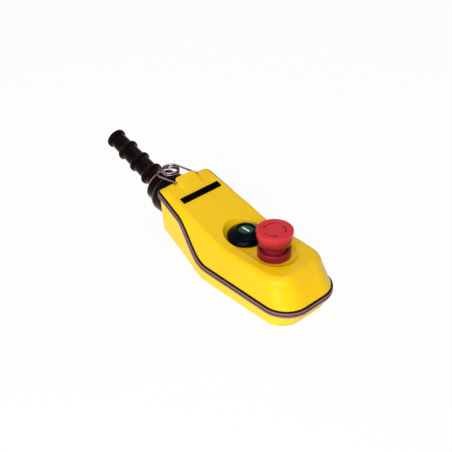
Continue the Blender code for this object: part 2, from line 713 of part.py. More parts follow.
# Operators and contacts
def hexagon(name, across_flats, bore, low, high, centre, material):
    """A hexagon nut with a round bore."""
    outer = across_flats / math.sqrt(3)
    item = revolve(name, [(outer, high), (outer, low)], material, centre, 6)
    return cut(item, cylinder(bore, low - MM, high + MM, centre, BORE_SIDES))


def barrel(name, centre, material):
    """The operator's threaded barrel: a cup through the panel, with a hole for the stem."""
    high = FLOOR_Z + BARREL_RISE
    low = BARREL_LOW
    bore = STEM_RADIUS + GAP
    profile = [(BARREL_RADIUS, high), (BARREL_RADIUS, low), (bore, low), (bore, low + BARREL_FLOOR)]
    profile += [(BARREL_BORE, low + BARREL_FLOOR), (BARREL_BORE, high)]
    return revolve(name, profile, material, centre, BARREL_SIDES, closed=True)


def stem(name, top, travel, centre, material, neck=()):
    """The sliding stem: rod, any wide neck, spring shoulder and a foot over the contact plungers."""
    foot_low = BLOCK_TOP + travel + 2 * GAP
    foot_high = foot_low + STEM_FOOT_HEIGHT
    profile = [(STEM_RADIUS, top), *neck, (STEM_RADIUS, SHOULDER_HIGH), (STEM_SHOULDER_RADIUS, SHOULDER_HIGH)]
    profile += [(STEM_SHOULDER_RADIUS, SHOULDER_LOW), (STEM_RADIUS, SHOULDER_LOW), (STEM_RADIUS, foot_high)]
    profile += [(STEM_FOOT_RADIUS, foot_high), (STEM_FOOT_RADIUS, foot_low)]
    return revolve(name, profile, material, centre, BARREL_SIDES)


def spring(name, centre, material):
    """The return spring, standing on the barrel's floor under the stem's shoulder."""
    low = BARREL_LOW + BARREL_FLOOR + SPRING_WIRE + GAP
    high = SHOULDER_LOW - SPRING_WIRE - GAP
    turns = np.linspace(0, 2 * math.pi * SPRING_TURNS, 8 * SPRING_TURNS + 1)
    path = np.column_stack([SPRING_RADIUS * np.cos(turns), SPRING_RADIUS * np.sin(turns),
                            low + (high - low) * turns / turns[-1]])
    item = tube(name, path, SPRING_WIRE, material, 4)
    item.location = (centre[0], centre[1], 0.0)
    return item


def adapter(name, centre, material):
    """The square latch that clamps the barrel and carries the contact blocks."""
    high = BARREL_LOW - GAP
    middle = (centre[0], centre[1], high - ADAPTER_HEIGHT / 2)
    item = block((ADAPTER_SIZE, ADAPTER_WIDTH, ADAPTER_HEIGHT), middle)
    item.name = name
    item.data.materials.clear()
    item.data.materials.append(material)
    return cut(item, cylinder(ADAPTER_BORE, high - ADAPTER_HEIGHT - MM, high + MM, centre, BORE_SIDES))


def operator(name, centre, finishes):
    """What both buttons share under the panel: barrel, return spring, lock nut and latch."""
    barrel(name + "_barrel", centre, finishes["black"])
    spring(name + "_spring", centre, finishes["steel"])
    nut_high = PANEL_Z - GAP
    hexagon(name + "_locknut", NUT_ACROSS_FLATS, BARREL_RADIUS + GAP, nut_high - NUT_HEIGHT, nut_high, centre,
            finishes["black"])
    adapter(name + "_latch", centre, finishes["grey"])


def contact_block(name, centre, material):
    """A contact block: stepped housing, plunger well and two terminal screw holes."""
    low = BLOCK_TOP - BLOCK_HEIGHT
    shoulder = low + BLOCK_SHOULDER
    long, short = BLOCK_LENGTH / 2, BLOCK_TOP_LENGTH / 2
    outline_xz = [(-long, low), (long, low), (long, shoulder), (short, shoulder), (short, BLOCK_TOP)]
    outline_xz += [(-short, BLOCK_TOP), (-short, shoulder), (-long, shoulder)]
    count = len(outline_xz)
    walls = (centre[1] - BLOCK_WIDTH / 2, centre[1] + BLOCK_WIDTH / 2)
    sides = [[(centre[0] + x, y, z) for x, z in outline_xz] for y in walls]
    faces = bridge(count, 2) + [tuple(range(count)), tuple(range(count, 2 * count))]
    item = add_object(name, np.vstack(sides), faces, material)
    well = PLUNGER_SIZE + 2 * GAP
    depth = PLUNGER_LENGTH + MM
    cut(item, block((well, well, 2 * depth), (centre[0], centre[1], BLOCK_TOP)))
    for x in terminal_places(centre[0]):
        place = (x, centre[1])
        low = shoulder - TERMINAL_BITE - MM
        cut(item, cylinder(SCREW_SHANK_RADIUS + GAP, low, shoulder + MM, place, SCREW_SIDES))
    return item


def terminal_places(x):
    """Where a block's two terminal screws stand along X."""
    reach = (BLOCK_LENGTH + BLOCK_TOP_LENGTH) / 4
    return (x - reach, x + reach)


def contact_plunger(name, centre, travel, material):
    """The spring-loaded plunger that stands out of its block under the stem's foot."""
    high = BLOCK_TOP + travel + GAP
    length = PLUNGER_LENGTH
    item = block((PLUNGER_SIZE, PLUNGER_SIZE, length), (centre[0], centre[1], high - length / 2))
    item.name = name
    item.data.materials.clear()
    item.data.materials.append(material)
    return item


def pan_screw(name, place, seat, length, head_radius, shank_radius, material, up):
    """A screw with a low round head on its seat; up is 1 with the head on top, -1 with it below."""
    top = SCREW_HEAD_HEIGHT + GAP
    profile = [(head_radius * 0.7, seat + up * top), (head_radius, seat + up * top / 2)]
    profile += [(head_radius, seat + up * GAP), (shank_radius, seat + up * GAP)]
    profile += [(shank_radius, seat - up * length)]
    return revolve(name, profile, material, place, SCREW_SIDES)


def terminal_screws(block_name, centre, material):
    """The two screws of one contact block."""
    seat = BLOCK_TOP - BLOCK_HEIGHT + BLOCK_SHOULDER
    for index, x in enumerate(terminal_places(centre[0]), 1):
        name = block_name + "_screw_" + str(index)
        pan_screw(name, (x, centre[1]), seat, TERMINAL_BITE, TERMINAL_HEAD_RADIUS, SCREW_SHANK_RADIUS,
                  material, 1)


def stop_head(centre, foot, socket, material):
    """The mushroom head: stepped crown, rounded rim, bowl-shaped flank and a socket for the stem."""
    rim = FLOOR_Z + STOP_RIM_RISE
    big, edge = STOP_HEAD_RADIUS, STOP_HEAD_EDGE
    crown = rim + STOP_CROWN_RISE
    disc = crown - STOP_DISC_DEPTH
    profile = [(STOP_DIMPLE_RADIUS, disc - STOP_DISC_DEPTH), (STOP_DIMPLE_RADIUS + STOP_DISC_DEPTH, disc)]
    profile += [(STOP_DISC_RADIUS, disc), (STOP_DISC_RADIUS + STOP_DISC_DEPTH, crown)]
    profile += [(big - 2 * edge, crown), (big - edge / 2, crown - edge / 2)]
    profile += [(big * share, rim - (rim - foot) * depth) for share, depth in STOP_FLANK_SHARES]
    profile += [(STOP_HEAD_FOOT_RADIUS, foot), (STEM_RADIUS + GAP, foot), (STEM_RADIUS + GAP, socket)]
    revolve("stop_head", profile, material, centre, ROUND_SIDES)


def stop_button(finishes):
    """The mushroom stop button with its collar, stem, barrel, nut, latch and two contact blocks."""
    centre = (STOP_X, 0.0)
    foot = FLOOR_Z + STOP_FOOT_RISE
    socket = foot + STOP_SOCKET_DEPTH
    stop_head(centre, foot, socket, finishes["red"])

    wide, edge = FLANGE_RADIUS, COLLAR_EDGE
    low, high = FLOOR_Z + GAP, FLOOR_Z + STOP_COLLAR_HEIGHT
    cup = low + CUP_FLOOR
    inner = BARREL_RADIUS + GAP
    profile = [(wide - edge, high), (wide, high - edge), (wide, low + edge), (wide - edge, low)]
    profile += [(inner, low), (inner, cup), (STOP_COLLAR_BORE, cup), (STOP_COLLAR_BORE, high)]
    revolve("stop_collar", profile, finishes["dark_red"], centre, ROUND_SIDES, closed=True)

    neck_high = foot - GAP
    neck_low = cup + STOP_TRAVEL + GAP
    neck = [(STEM_RADIUS, neck_high), (STOP_NECK_RADIUS, neck_high), (STOP_NECK_RADIUS, neck_low)]
    neck += [(STEM_RADIUS, neck_low)]
    stem("stop_stem", socket - GAP, STOP_TRAVEL, centre, finishes["dark_red"], neck)
    operator("stop", centre, finishes)
    for letter, side in (("a", 1), ("b", -1)):
        place = (STOP_X, side * BLOCK_PITCH / 2)
        contact_block("stop_contact_" + letter, place, finishes["red_block"])
        contact_plunger("stop_contact_" + letter + "_plunger", place, STOP_TRAVEL, finishes["white"])
        terminal_screws("stop_contact_" + letter, place, finishes["steel"])


def start_guard(centre, material):
    """The rubber cone round the start cap, open at its mouth, with a hollow over the barrel."""
    mouth, wide = START_GUARD_MOUTH, START_SKIRT_RADIUS
    low, top = FLOOR_Z + GAP, FLOOR_Z + START_GUARD_RISE
    lip, skirt, edge = GUARD_LIP, GUARD_SKIRT, COLLAR_EDGE
    inner = BARREL_RADIUS + GAP
    hollow = FLOOR_Z + GUARD_HOLLOW
    profile = [(mouth + lip / 2, top), (mouth + lip, top - edge), (mouth + 1.6 * lip, top - lip - edge)]
    profile += [(mouth + 2.9 * lip, low + skirt + lip), (wide - 1.3 * lip, low + skirt)]
    profile += [(wide - edge / 2, low + skirt - lip), (wide, low + skirt / 3), (wide - edge / 2, low)]
    profile += [(inner, low), (inner, hollow), (inner + edge, hollow + lip)]
    profile += [(mouth, hollow + 2 * lip), (mouth, top - lip)]
    revolve("start_guard", profile, material, centre, ROUND_SIDES, closed=True)


def start_button(finishes):
    """The start button with its rubber guard, cap, stem, barrel, nut, latch and contact block."""
    centre = (START_X, 0.0)
    start_guard(centre, finishes["rubber"])

    top = FLOOR_Z + START_CAP_RISE
    low = FLOOR_Z + BARREL_RISE + START_TRAVEL + GAP
    radius, edge = START_GUARD_MOUTH - GAP, COLLAR_EDGE
    socket = low + CAP_SOCKET_DEPTH
    profile = [(radius - 3 * edge, top), (radius - edge, top - edge / 3), (radius, top - edge)]
    profile += [(radius, low), (STEM_RADIUS + GAP, low), (STEM_RADIUS + GAP, socket)]
    revolve("start_cap", profile, finishes["green"], centre, BORE_SIDES)

    stem("start_stem", socket - GAP, START_TRAVEL, centre, finishes["white"])
    operator("start", centre, finishes)
    contact_block("start_contact", centre, finishes["green_block"])
    contact_plunger("start_contact_plunger", centre, START_TRAVEL, finishes["white"])
    terminal_screws("start_contact", centre, finishes["steel"])


# Label, cable clamp and closing screws
def label_plate(material):
    """The blank black plate across the handle."""
    tilt = math.atan(HANDLE_TOP_SLOPE)
    lift = (LABEL_THICKNESS / 2 + GAP) / math.cos(tilt)
    centre = (LABEL_X, 0.0, float(top_z(LABEL_X)) + lift)
    item = block((LABEL_HEIGHT, LABEL_WIDTH, LABEL_THICKNESS), centre, tilt)
    item.name = "label_plate"
    item.data.materials.clear()
    item.data.materials.append(material)
    return item


def cable_clamp(finishes):
    """The saddle that holds the cable inside the inlet, with its two screws."""
    inside = CABLE_RADIUS
    outside = CABLE_RADIUS + CLAMP_THICKNESS
    end = CLAMP_HALF_SPAN + SCREW_BOSS_RADIUS
    low, high = CLAMP_Z + GAP, CLAMP_Z + GAP + CLAMP_THICKNESS
    arc = np.linspace(0, math.pi, 9)
    under = [(inside * math.cos(a), low + inside * math.sin(a)) for a in arc]
    meet = math.asin(CLAMP_THICKNESS / outside)
    arc = np.linspace(math.pi - meet, meet, 9)
    over = [(outside * math.cos(a), low + outside * math.sin(a)) for a in arc]
    section = [(end, low)] + under + [(-end, low), (-end, high)] + over + [(end, high)]
    count = len(section)
    faces_at = (CLAMP_X - CLAMP_LENGTH / 2, CLAMP_X + CLAMP_LENGTH / 2)
    points = [(x, y, z) for x in faces_at for y, z in section]
    faces = bridge(count, 2) + [tuple(range(count)), tuple(range(count, 2 * count))]
    item = add_object("cable_clamp", points, faces, finishes["steel"])
    for index, side in enumerate((1, -1), 1):
        place = (CLAMP_X, side * CLAMP_HALF_SPAN)
        cut(item, cylinder(SCREW_SHANK_RADIUS + GAP, low - MM, high + MM, place, 12))
        pan_screw("cable_clamp_screw_" + str(index), place, high, SCREW_BITE, SCREW_HEAD_RADIUS,
                  SCREW_SHANK_RADIUS, finishes["steel"], 1)


def closing_screws(material):
    """The screws that close the shells from below."""
    for index, (x, y) in enumerate(screw_places(), 1):
        seat = joint_z(x) - GAP / 2 - SCREW_GRIP
        pan_screw("closing_screw_" + str(index), (x, y), seat, SCREW_GRIP + SCREW_BITE, SCREW_HEAD_RADIUS,
                  SCREW_SHANK_RADIUS, material, -1)


def main():
    """Builds every piece of the pendant."""
    clear_scene()
    finishes = {
        "yellow": finish("yellow_shell", (0.90, 0.60, 0.02), 0.35),
        "lemon": finish("lemon_shell", (0.95, 0.72, 0.03), 0.35),
        "rubber": finish("black_rubber", (0.012, 0.011, 0.013), 0.45),
        "black": finish("black_plastic", (0.02, 0.02, 0.02), 0.4),
        "grey": finish("grey_plastic", (0.25, 0.26, 0.27), 0.5),
        "white": finish("white_plastic", (0.8, 0.8, 0.78), 0.4),
        "red": finish("stop_red", (0.60, 0.02, 0.03), 0.3),
        "dark_red": finish("collar_red", (0.35, 0.01, 0.02), 0.3),
        "red_block": finish("red_contact", (0.5, 0.03, 0.03), 0.45),
        "green": finish("start_green", (0.01, 0.12, 0.05), 0.35),
        "green_block": finish("green_contact", (0.02, 0.25, 0.10), 0.45),
        "steel": finish("bright_steel", (0.72, 0.72, 0.75), 0.2, 1.0),
    }
    upper_shell(finishes["yellow"])
    lower_shell(finishes["lemon"])
    seam_gasket(finishes["rubber"])
    cable_boot(finishes["rubber"])
    suspension_bail(finishes["steel"])
    label_plate(finishes["black"])
    start_button(finishes)
    stop_button(finishes)
    cable_clamp(finishes)
    closing_screws(finishes["steel"])


main()
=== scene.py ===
# %% [markdown]
# # A crane pendant, dressed for its portrait
# A crane pendant is the yellow handset that hangs from a hoist on its own cable. The hand
# holds the bent body, and the thumb finds the start button and the red mushroom stop button.
# This notebook takes the finished mechanical model as it is and lays a finer skin over it,
# piece by piece, worked out with numpy. The camera stands where the photographer stood.

# %% Load the mechanical model
import json
import math

import bmesh
import bpy
import numpy as np
from mathutils import Matrix, Vector


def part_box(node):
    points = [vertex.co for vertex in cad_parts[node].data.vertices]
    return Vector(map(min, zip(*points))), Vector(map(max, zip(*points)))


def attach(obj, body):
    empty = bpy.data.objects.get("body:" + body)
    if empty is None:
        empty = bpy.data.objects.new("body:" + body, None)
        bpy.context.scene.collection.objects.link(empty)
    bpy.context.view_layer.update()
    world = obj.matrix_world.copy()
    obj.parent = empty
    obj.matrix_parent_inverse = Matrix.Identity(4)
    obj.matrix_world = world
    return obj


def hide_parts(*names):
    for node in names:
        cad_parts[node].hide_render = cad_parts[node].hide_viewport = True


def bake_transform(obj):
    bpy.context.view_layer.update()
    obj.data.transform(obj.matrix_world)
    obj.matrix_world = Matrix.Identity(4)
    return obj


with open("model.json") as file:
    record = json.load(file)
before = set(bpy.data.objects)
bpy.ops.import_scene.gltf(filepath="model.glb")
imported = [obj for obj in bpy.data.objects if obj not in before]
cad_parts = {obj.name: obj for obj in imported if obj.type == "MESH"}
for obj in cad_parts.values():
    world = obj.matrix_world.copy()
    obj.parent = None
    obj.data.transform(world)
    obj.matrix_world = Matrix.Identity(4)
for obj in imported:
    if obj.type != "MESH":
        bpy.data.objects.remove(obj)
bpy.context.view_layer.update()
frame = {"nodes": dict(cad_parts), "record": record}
nodes = frame["nodes"]
MM = 0.001
print("mechanical model:", len(nodes), "pieces")

# %% [markdown]
# ## Turning arrays into meshes
# Every new surface below is a stack of rows. A row is a closed ring of points, and all rows
# of a piece have the same number of points, so that neighbours join up with four-sided faces.
# This is the quickest way to make smooth moulded shapes: the form stays a formula, and its
# fineness is only a number. Modelling by hand would give the same skin with far more work.

# %% Rows to mesh
SMOOTH = math.radians(38)


def mesh_object(name, points, faces, angle=SMOOTH, crest=None):
    """One object from points and faces: doubles merged, normals turned outwards, sharp edges kept.

    Crest is an optional number for each point, which a material can read as an attribute.
    """
    mesh = bpy.data.meshes.new(name)
    mesh.from_pydata(points.tolist(), [], faces)
    if crest is not None:
        mesh.attributes.new("crest", "FLOAT", "POINT").data.foreach_set("value", np.ravel(crest))
    work = bmesh.new()
    work.from_mesh(mesh)
    bmesh.ops.remove_doubles(work, verts=work.verts, dist=2e-6)
    bmesh.ops.dissolve_degenerate(work, edges=work.edges, dist=1e-7)
    bmesh.ops.recalc_face_normals(work, faces=work.faces)
    work.to_mesh(mesh)
    work.free()
    mesh.shade_smooth()
    mesh.set_sharp_from_angle(angle=angle)
    item = bpy.data.objects.new(name, mesh)
    bpy.context.scene.collection.objects.link(item)
    return item


def grid_faces(rows, count, close_rows=False):
    """Indices of the quads between neighbouring rows; point i of each row joins point i + 1."""
    row, i = np.meshgrid(np.arange(rows if close_rows else rows - 1), np.arange(count), indexing="ij")
    after, j = (row + 1) % rows, (i + 1) % count
    quads = np.stack([row * count + i, row * count + j, after * count + j, after * count + i], axis=-1)
    return quads.reshape(-1, 4).tolist()


def skin(name, rows, caps=(False, False), closed=False, angle=SMOOTH, crest=None):
    """A surface through a stack of rings; caps close its first and last ring, closed joins them."""
    rows = np.asarray(rows, dtype=float)
    levels, count = rows.shape[:2]
    faces = grid_faces(levels, count, closed)
    if caps[0]:
        faces.append(list(range(count)))
    if caps[1]:
        faces.append(list(range((levels - 1) * count, levels * count)))
    return mesh_object(name, rows.reshape(-1, 3), faces, angle, crest)


def bend(a, b, c, steps):
    """A rounded corner at b from a to c: (1-t)(1-t)a + 2t(1-t)b + t*t*c, one row for each t."""
    t = np.linspace(0, 1, steps + 1).reshape(-1, *([1] * np.ndim(a)))
    return (1 - t) ** 2 * a + 2 * t * (1 - t) * b + t ** 2 * c


def rounded(corners, radii, steps=5):
    """A polyline of (r, z) corners with each one rounded by its radius, as an array of points."""
    corners = np.array(corners, dtype=float)
    path = [corners[:1]]
    for i, radius in enumerate(radii, 1):
        to_last, to_next = corners[i - 1] - corners[i], corners[i + 1] - corners[i]
        reach = min(radius, np.linalg.norm(to_last) * 0.49, np.linalg.norm(to_next) * 0.49)
        start = corners[i] + to_last / np.linalg.norm(to_last) * reach
        end = corners[i] + to_next / np.linalg.norm(to_next) * reach
        path.append(bend(start, corners[i], end, steps if radius else 0))
    path.append(corners[-1:])
    return np.vstack(path)


def lathe(name, profile, centre, sides=96, closed=False, caps=(True, True)):
    """Turns an (r, z) profile round an upright axis: (x, y, z) = (r cos a, r sin a, z)."""
    a = np.linspace(0, 2 * math.pi, sides, endpoint=False)
    r, z = np.array(profile)[:, 0, None], np.array(profile)[:, 1, None]
    rows = np.stack([centre[0] + r * np.cos(a), centre[1] + r * np.sin(a), z + 0 * a], axis=-1)
    return skin(name, rows, (False, False) if closed else caps, closed)


def carve(item, tool, operation="DIFFERENCE"):
    """One exact cut or union with a tool that is then thrown away."""
    step = item.modifiers.new("carve", "BOOLEAN")
    step.operation = operation
    step.object = tool
    step.solver = "EXACT"
    graph = bpy.context.evaluated_depsgraph_get()
    mesh = bpy.data.meshes.new_from_object(item.evaluated_get(graph))
    item.modifiers.clear()
    item.data = mesh
    bpy.data.objects.remove(tool)


print("mesh helpers ready")

# %% [markdown]
# ## The lines of the body
# Seen from the side, the handset is three lines. The top face is level round the buttons
# and climbs along the handle. The underside does the same further back. Between them the
# seam runs in an S, low on the nose and high at the cable end. Seen from above, the body
# is a long shape with large corners on the nose and small ones on the cable end. All of them
# are short formulas with the measured sizes. Over the boot the seam dips a little between the
# two corners of the cable end.

# %% Side lines and plan
CABLE_X, NOSE_X, WIDEST_X = -131.0 * MM, 80.6 * MM, -55 * MM
CABLE_HALF, NOSE_HALF = 36.2 * MM, 43 * MM
CABLE_CORNER, NOSE_CORNER = 9 * MM, 29 * MM
WALL = 3.0 * MM
PLATEAU = 60.5 * MM
POCKET_FLOOR = 57.0 * MM
STOP_X, START_X = 20.0 * MM, -23.5 * MM
TOP_KNEE_X, TOP_SLOPE = -26 * MM, 0.29
UNDER_KNEE_X, UNDER_SLOPE = -57.5 * MM, 0.38
KNEE_LONG = 24 * MM
SEAM_LOW, SEAM_UNDER_TOP, SEAM_SLOPE = 28.8 * MM, 4.5 * MM, 0.36
BLEND_BACK_X, BLEND_FRONT_X = -89 * MM, -41 * MM
GASKET_HIGH = 8 * MM
DIP_DEEP = 4.5 * MM
DIP_START_X, DIP_FULL_X = -119 * MM, -130 * MM
DIP_FULL_Y, DIP_END_Y = 28 * MM, 38 * MM


def soft(x, low, high):
    """Zero below low, one above high, 3t^2 - 2t^3 between."""
    t = np.clip((x - low) / (high - low), 0, 1)
    return t * t * (3 - 2 * t)


def knee(x, start, slope, length):
    """Zero ahead of start, then a straight climb by slope, with a parabola of that length between."""
    run = start + length / 2 - x
    eased = np.clip(run, 0, length)
    return slope * (eased ** 2 / (2 * length) + np.maximum(run - length, 0))


def top_z(x):
    """Height of the top face: level, then climbing 0.29 for each step back along the handle."""
    return PLATEAU + knee(x, TOP_KNEE_X, TOP_SLOPE, KNEE_LONG)


def underside_z(x):
    """Height of the underside: flat, then climbing 0.38 for each step back."""
    return knee(x, UNDER_KNEE_X, UNDER_SLOPE, KNEE_LONG)


def seam_z(x):
    """Height of the seam: a slow climb on the handle blended by 3t^2 - 2t^3 into a level line."""
    handle = top_z(CABLE_X) - SEAM_UNDER_TOP - SEAM_SLOPE * (x - CABLE_X)
    return handle + (SEAM_LOW - handle) * soft(x, BLEND_BACK_X, BLEND_FRONT_X)


def gasket_height(x):
    """8 mm square to the seam, so taller upright where the seam is steep: 8 sqrt(1 + slope^2)."""
    slope = (seam_z(x + MM) - seam_z(x - MM)) / (2 * MM)
    return GASKET_HIGH * np.sqrt(1 + slope ** 2)


def plan(cable_x, nose_x, cable_half, nose_half, cable_corner, nose_corner):
    """A closed plan loop as rows of x, y, clockwise from the middle of the cable end.

    Half of it is: straight back edge, quarter circle, straight taper out to the widest station,
    straight side, quarter circle, straight front edge. Its mirror image closes the loop.
    """
    quarter = np.linspace(0, math.pi / 2, 13)
    back = np.column_stack([np.full(8, cable_x), np.linspace(0, cable_half - cable_corner, 8)])
    corner = np.column_stack([cable_x + cable_corner * (1 - np.cos(quarter)),
                              cable_half - cable_corner * (1 - np.sin(quarter))])
    t = np.linspace(0, 1, 25)[1:]
    taper = np.column_stack([corner[-1, 0] + (WIDEST_X - corner[-1, 0]) * t,
                             cable_half + (nose_half - cable_half) * t])
    t = np.linspace(0, 1, 29)[1:-1]
    side = np.column_stack([WIDEST_X + (nose_x - nose_corner - WIDEST_X) * t, np.full(27, nose_half)])
    quarter = np.linspace(0, math.pi / 2, 21)
    nose = np.column_stack([nose_x - nose_corner * (1 - np.sin(quarter)),
                            nose_half - nose_corner * (1 - np.cos(quarter))])
    front = np.column_stack([np.full(7, nose_x), np.linspace(nose_half - nose_corner, 0, 8)[1:]])
    half = np.vstack([back, corner[1:], taper, side, nose, front])
    return np.vstack([half, half[-2:0:-1] * [1, -1]])


def inset(loop, distance):
    """Moves a plan loop inwards, square to itself, by one distance or by one for each point."""
    ahead = np.roll(loop, -1, axis=0) - loop
    behind = loop - np.roll(loop, 1, axis=0)
    along = ahead / np.linalg.norm(ahead, axis=1)[:, None] + behind / np.linalg.norm(behind, axis=1)[:, None]
    along /= np.linalg.norm(along, axis=1)[:, None]
    return loop - np.column_stack([-along[:, 1], along[:, 0]]) * np.reshape(distance, (-1, 1))


def at(loop, z):
    """A plan loop with heights: rows of x, y, z."""
    return np.column_stack([loop, np.broadcast_to(z, len(loop))])


def nearest(loop, low_x, high_x):
    """The nearest point to each loop point on the middle line between two stations."""
    return np.column_stack([np.clip(loop[:, 0], low_x, high_x), np.zeros(len(loop))])


RIM = plan(CABLE_X, NOSE_X, CABLE_HALF, NOSE_HALF, CABLE_CORNER, NOSE_CORNER)
DIP_SHARE = 1 - soft(abs(RIM[:, 1]), DIP_FULL_Y, DIP_END_Y)
SEAM = seam_z(RIM[:, 0]) - DIP_DEEP * soft(RIM[:, 0], DIP_START_X, DIP_FULL_X) * DIP_SHARE
GASKET = gasket_height(RIM[:, 0])
print("plan loop:", len(RIM), "points")

# %% [markdown]
# ## The cover
# The real cover is one thick moulding: leaning walls, a soft shoulder, the climbing top face
# and a deep pocket round both buttons. It is built here as a single closed skin. The rows run
# from the middle of the pocket floor out over the rim of the pocket, across the top face,
# over the shoulder, down the wall, round the lower edge and back along the inside. Only the
# button holes, the tab and the seats of the wire are cut or joined afterwards.

# %% Cover rows
POCKET_R, POCKET_FOOT, POCKET_LIP = 22 * MM, 2.6 * MM, 1.3 * MM
WALL_LEAN, NOSE_LEAN = 0.4, 1.2
ROUND_CABLE, ROUND_MORE, ROUND_NOSE = 2.6 * MM, 2.9 * MM, 3.5 * MM
ROUND_NOSE_START, ROUND_NOSE_FULL = 10 * MM, 60 * MM
EDGE = 0.5 * MM
BUTTON_HOLE = 11.25 * MM


def pocket_ring(loop):
    """For each point: the nearest on the line between the buttons, the way out, and the wall's lean.

    The wall leans out by 0.4 for each step up, and by up to 1.2 more where it faces the nose.
    """
    core = nearest(loop, START_X, STOP_X)
    aim = loop - core
    aim /= np.linalg.norm(aim, axis=1)[:, None]
    ahead = np.where(core[:, 0] > STOP_X - 0.1 * MM, np.clip(aim[:, 0], 0, 1), 0)
    return core, aim, WALL_LEAN + NOSE_LEAN * ahead


def pocket_rim(loop):
    """Where the leaning wall meets the top face, found by repeating height = top_z(x) - floor."""
    height = np.full(len(loop), PLATEAU - POCKET_FLOOR)
    core, aim, flare = pocket_ring(loop)
    for _ in range(30):
        radius = POCKET_R + flare * height
        height = 0.5 * height + 0.5 * (top_z((core + aim * radius[:, None])[:, 0]) - POCKET_FLOOR)
    return core, aim, flare, radius, height


def cover_rows():
    """All rows of the cover from the pocket's floor over the outside and back along the inside."""
    shoulder = plan(cable_x=CABLE_X + 6.2 * MM, nose_x=NOSE_X - 13 * MM, cable_half=34.2 * MM,
                    nose_half=39 * MM, cable_corner=10 * MM, nose_corner=25 * MM)
    round_over = ROUND_CABLE + ROUND_MORE * np.clip((shoulder[:, 0] - CABLE_X) / (WIDEST_X - CABLE_X), 0, 1)
    round_over += ROUND_NOSE * soft(shoulder[:, 0], ROUND_NOSE_START, ROUND_NOSE_FULL)
    face = inset(shoulder, round_over)
    core, aim, flare, radius, height = pocket_rim(face)
    rows = []
    for share in np.linspace(0.02, 1, 8):
        rows.append(at(core + aim * (POCKET_R - POCKET_FOOT) * share, POCKET_FLOOR))
    foot = at(core + aim * POCKET_R, POCKET_FLOOR)
    rise = np.minimum(POCKET_FOOT, height * 0.45)
    foot_up = at(core + aim * (POCKET_R + flare * rise)[:, None], POCKET_FLOOR + rise)
    rows += list(bend(rows[-1], foot, foot_up, 6))[1:]
    rim = core + aim * radius[:, None]
    below = at(core + aim * (radius - flare * POCKET_LIP)[:, None], POCKET_FLOOR + height - POCKET_LIP)
    outside = core + aim * (radius + POCKET_LIP)[:, None]
    rows += list(bend(below, at(rim, top_z(rim[:, 0])), at(outside, top_z(outside[:, 0])), 6))
    for share in np.linspace(0, 1, 26)[1:]:
        loop = outside + (face - outside) * share
        rows.append(at(loop, top_z(loop[:, 0])))
    shoulder_z = top_z(shoulder[:, 0]) - round_over
    for angle in np.linspace(math.pi / 2, 0, 10)[1:]:
        loop = inset(shoulder, round_over * (1 - math.cos(angle)))
        crown = top_z(face[:, 0]) + (top_z(loop[:, 0]) - top_z(face[:, 0])) * math.sin(angle)
        rows.append(at(loop, crown - round_over * (1 - math.sin(angle)) if angle else shoulder_z))
    for share in np.linspace(0, 1, 12)[1:]:
        rows.append(at(shoulder + (RIM - shoulder) * share, shoulder_z + (SEAM + EDGE - shoulder_z) * share))
    rows += list(bend(rows[-1], at(RIM, SEAM), at(inset(RIM, EDGE), SEAM), 3))[1:]
    rows.append(at(inset(RIM, WALL), SEAM))
    rows.append(at(inset(shoulder, WALL), np.minimum(shoulder_z, top_z(shoulder[:, 0]) - WALL - 0.3 * MM)))
    under = inset(face, WALL / 3)
    rows.append(at(under, top_z(under[:, 0]) - WALL))
    pad = core + aim * (radius + WALL)[:, None]
    for share in (0.5, 1):
        loop = under + (pad - under) * share
        rows.append(at(loop, top_z(loop[:, 0]) - WALL))
    rows.append(at(core + aim * (POCKET_R + WALL), POCKET_FLOOR - WALL))
    rows.append(at(core + aim * POCKET_R * 0.02, POCKET_FLOOR - WALL))
    return rows


def drum(radius, low, high, centre, sides=64):
    """An upright cylinder used as a cutter."""
    return lathe("cutter", [(radius, low), (radius, high)], centre, sides)


def box_tool(low, high):
    """A box between two corners, as one ring below and one above."""
    (x0, y0, z0), (x1, y1, z1) = low, high
    ring = np.array([(x0, y0), (x1, y0), (x1, y1), (x0, y1)])
    return skin("cutter", [at(ring, z0), at(ring, z1)], (True, True))


cover = skin("cover", cover_rows(), (True, True))
for centre_x in (START_X, STOP_X):
    carve(cover, drum(BUTTON_HOLE, POCKET_FLOOR - 2 * WALL, POCKET_FLOOR + WALL, (centre_x, 0)))
print("cover skin:", len(cover.data.polygons), "faces")

# %% [markdown]
# ## Tab and wire seats
# The tab is the little tongue that carries the wire bail. It leaves the handle's face as a
# shallow ramp and ends in two rounded corners. A ring of plan points with four heights makes
# it: sunk foot, crisp side, rounded edge and flat crown. The seats beside it take the wire.

# %% Tab
TAB_HALF, TAB_END, TAB_LONG, TAB_RISE = 14 * MM, -125.6 * MM, 22 * MM, 4 * MM
TAB_CORNER, TAB_SUNK, TAB_EDGE, TAB_INWARD = 3 * MM, 0.4 * MM, 0.7 * MM, 0.13
BAIL_X, WIRE_R = -121 * MM, 1.1 * MM
SEAT_Y, SEAT_HALF = TAB_HALF + 1.8 * MM, 1.7 * MM
SEAT_BACK, SEAT_FRONT, SEAT_DEEP = 10 * MM, 2.9 * MM, 0.9 * MM
NOTCH_Y, NOTCH_HALF, NOTCH_LONG, NOTCH_LIFT = TAB_HALF + 3.4 * MM, 3.2 * MM, 6 * MM, 0.4 * MM
BAIL_Z = float(top_z(BAIL_X)) + WIRE_R + 0.3 * MM


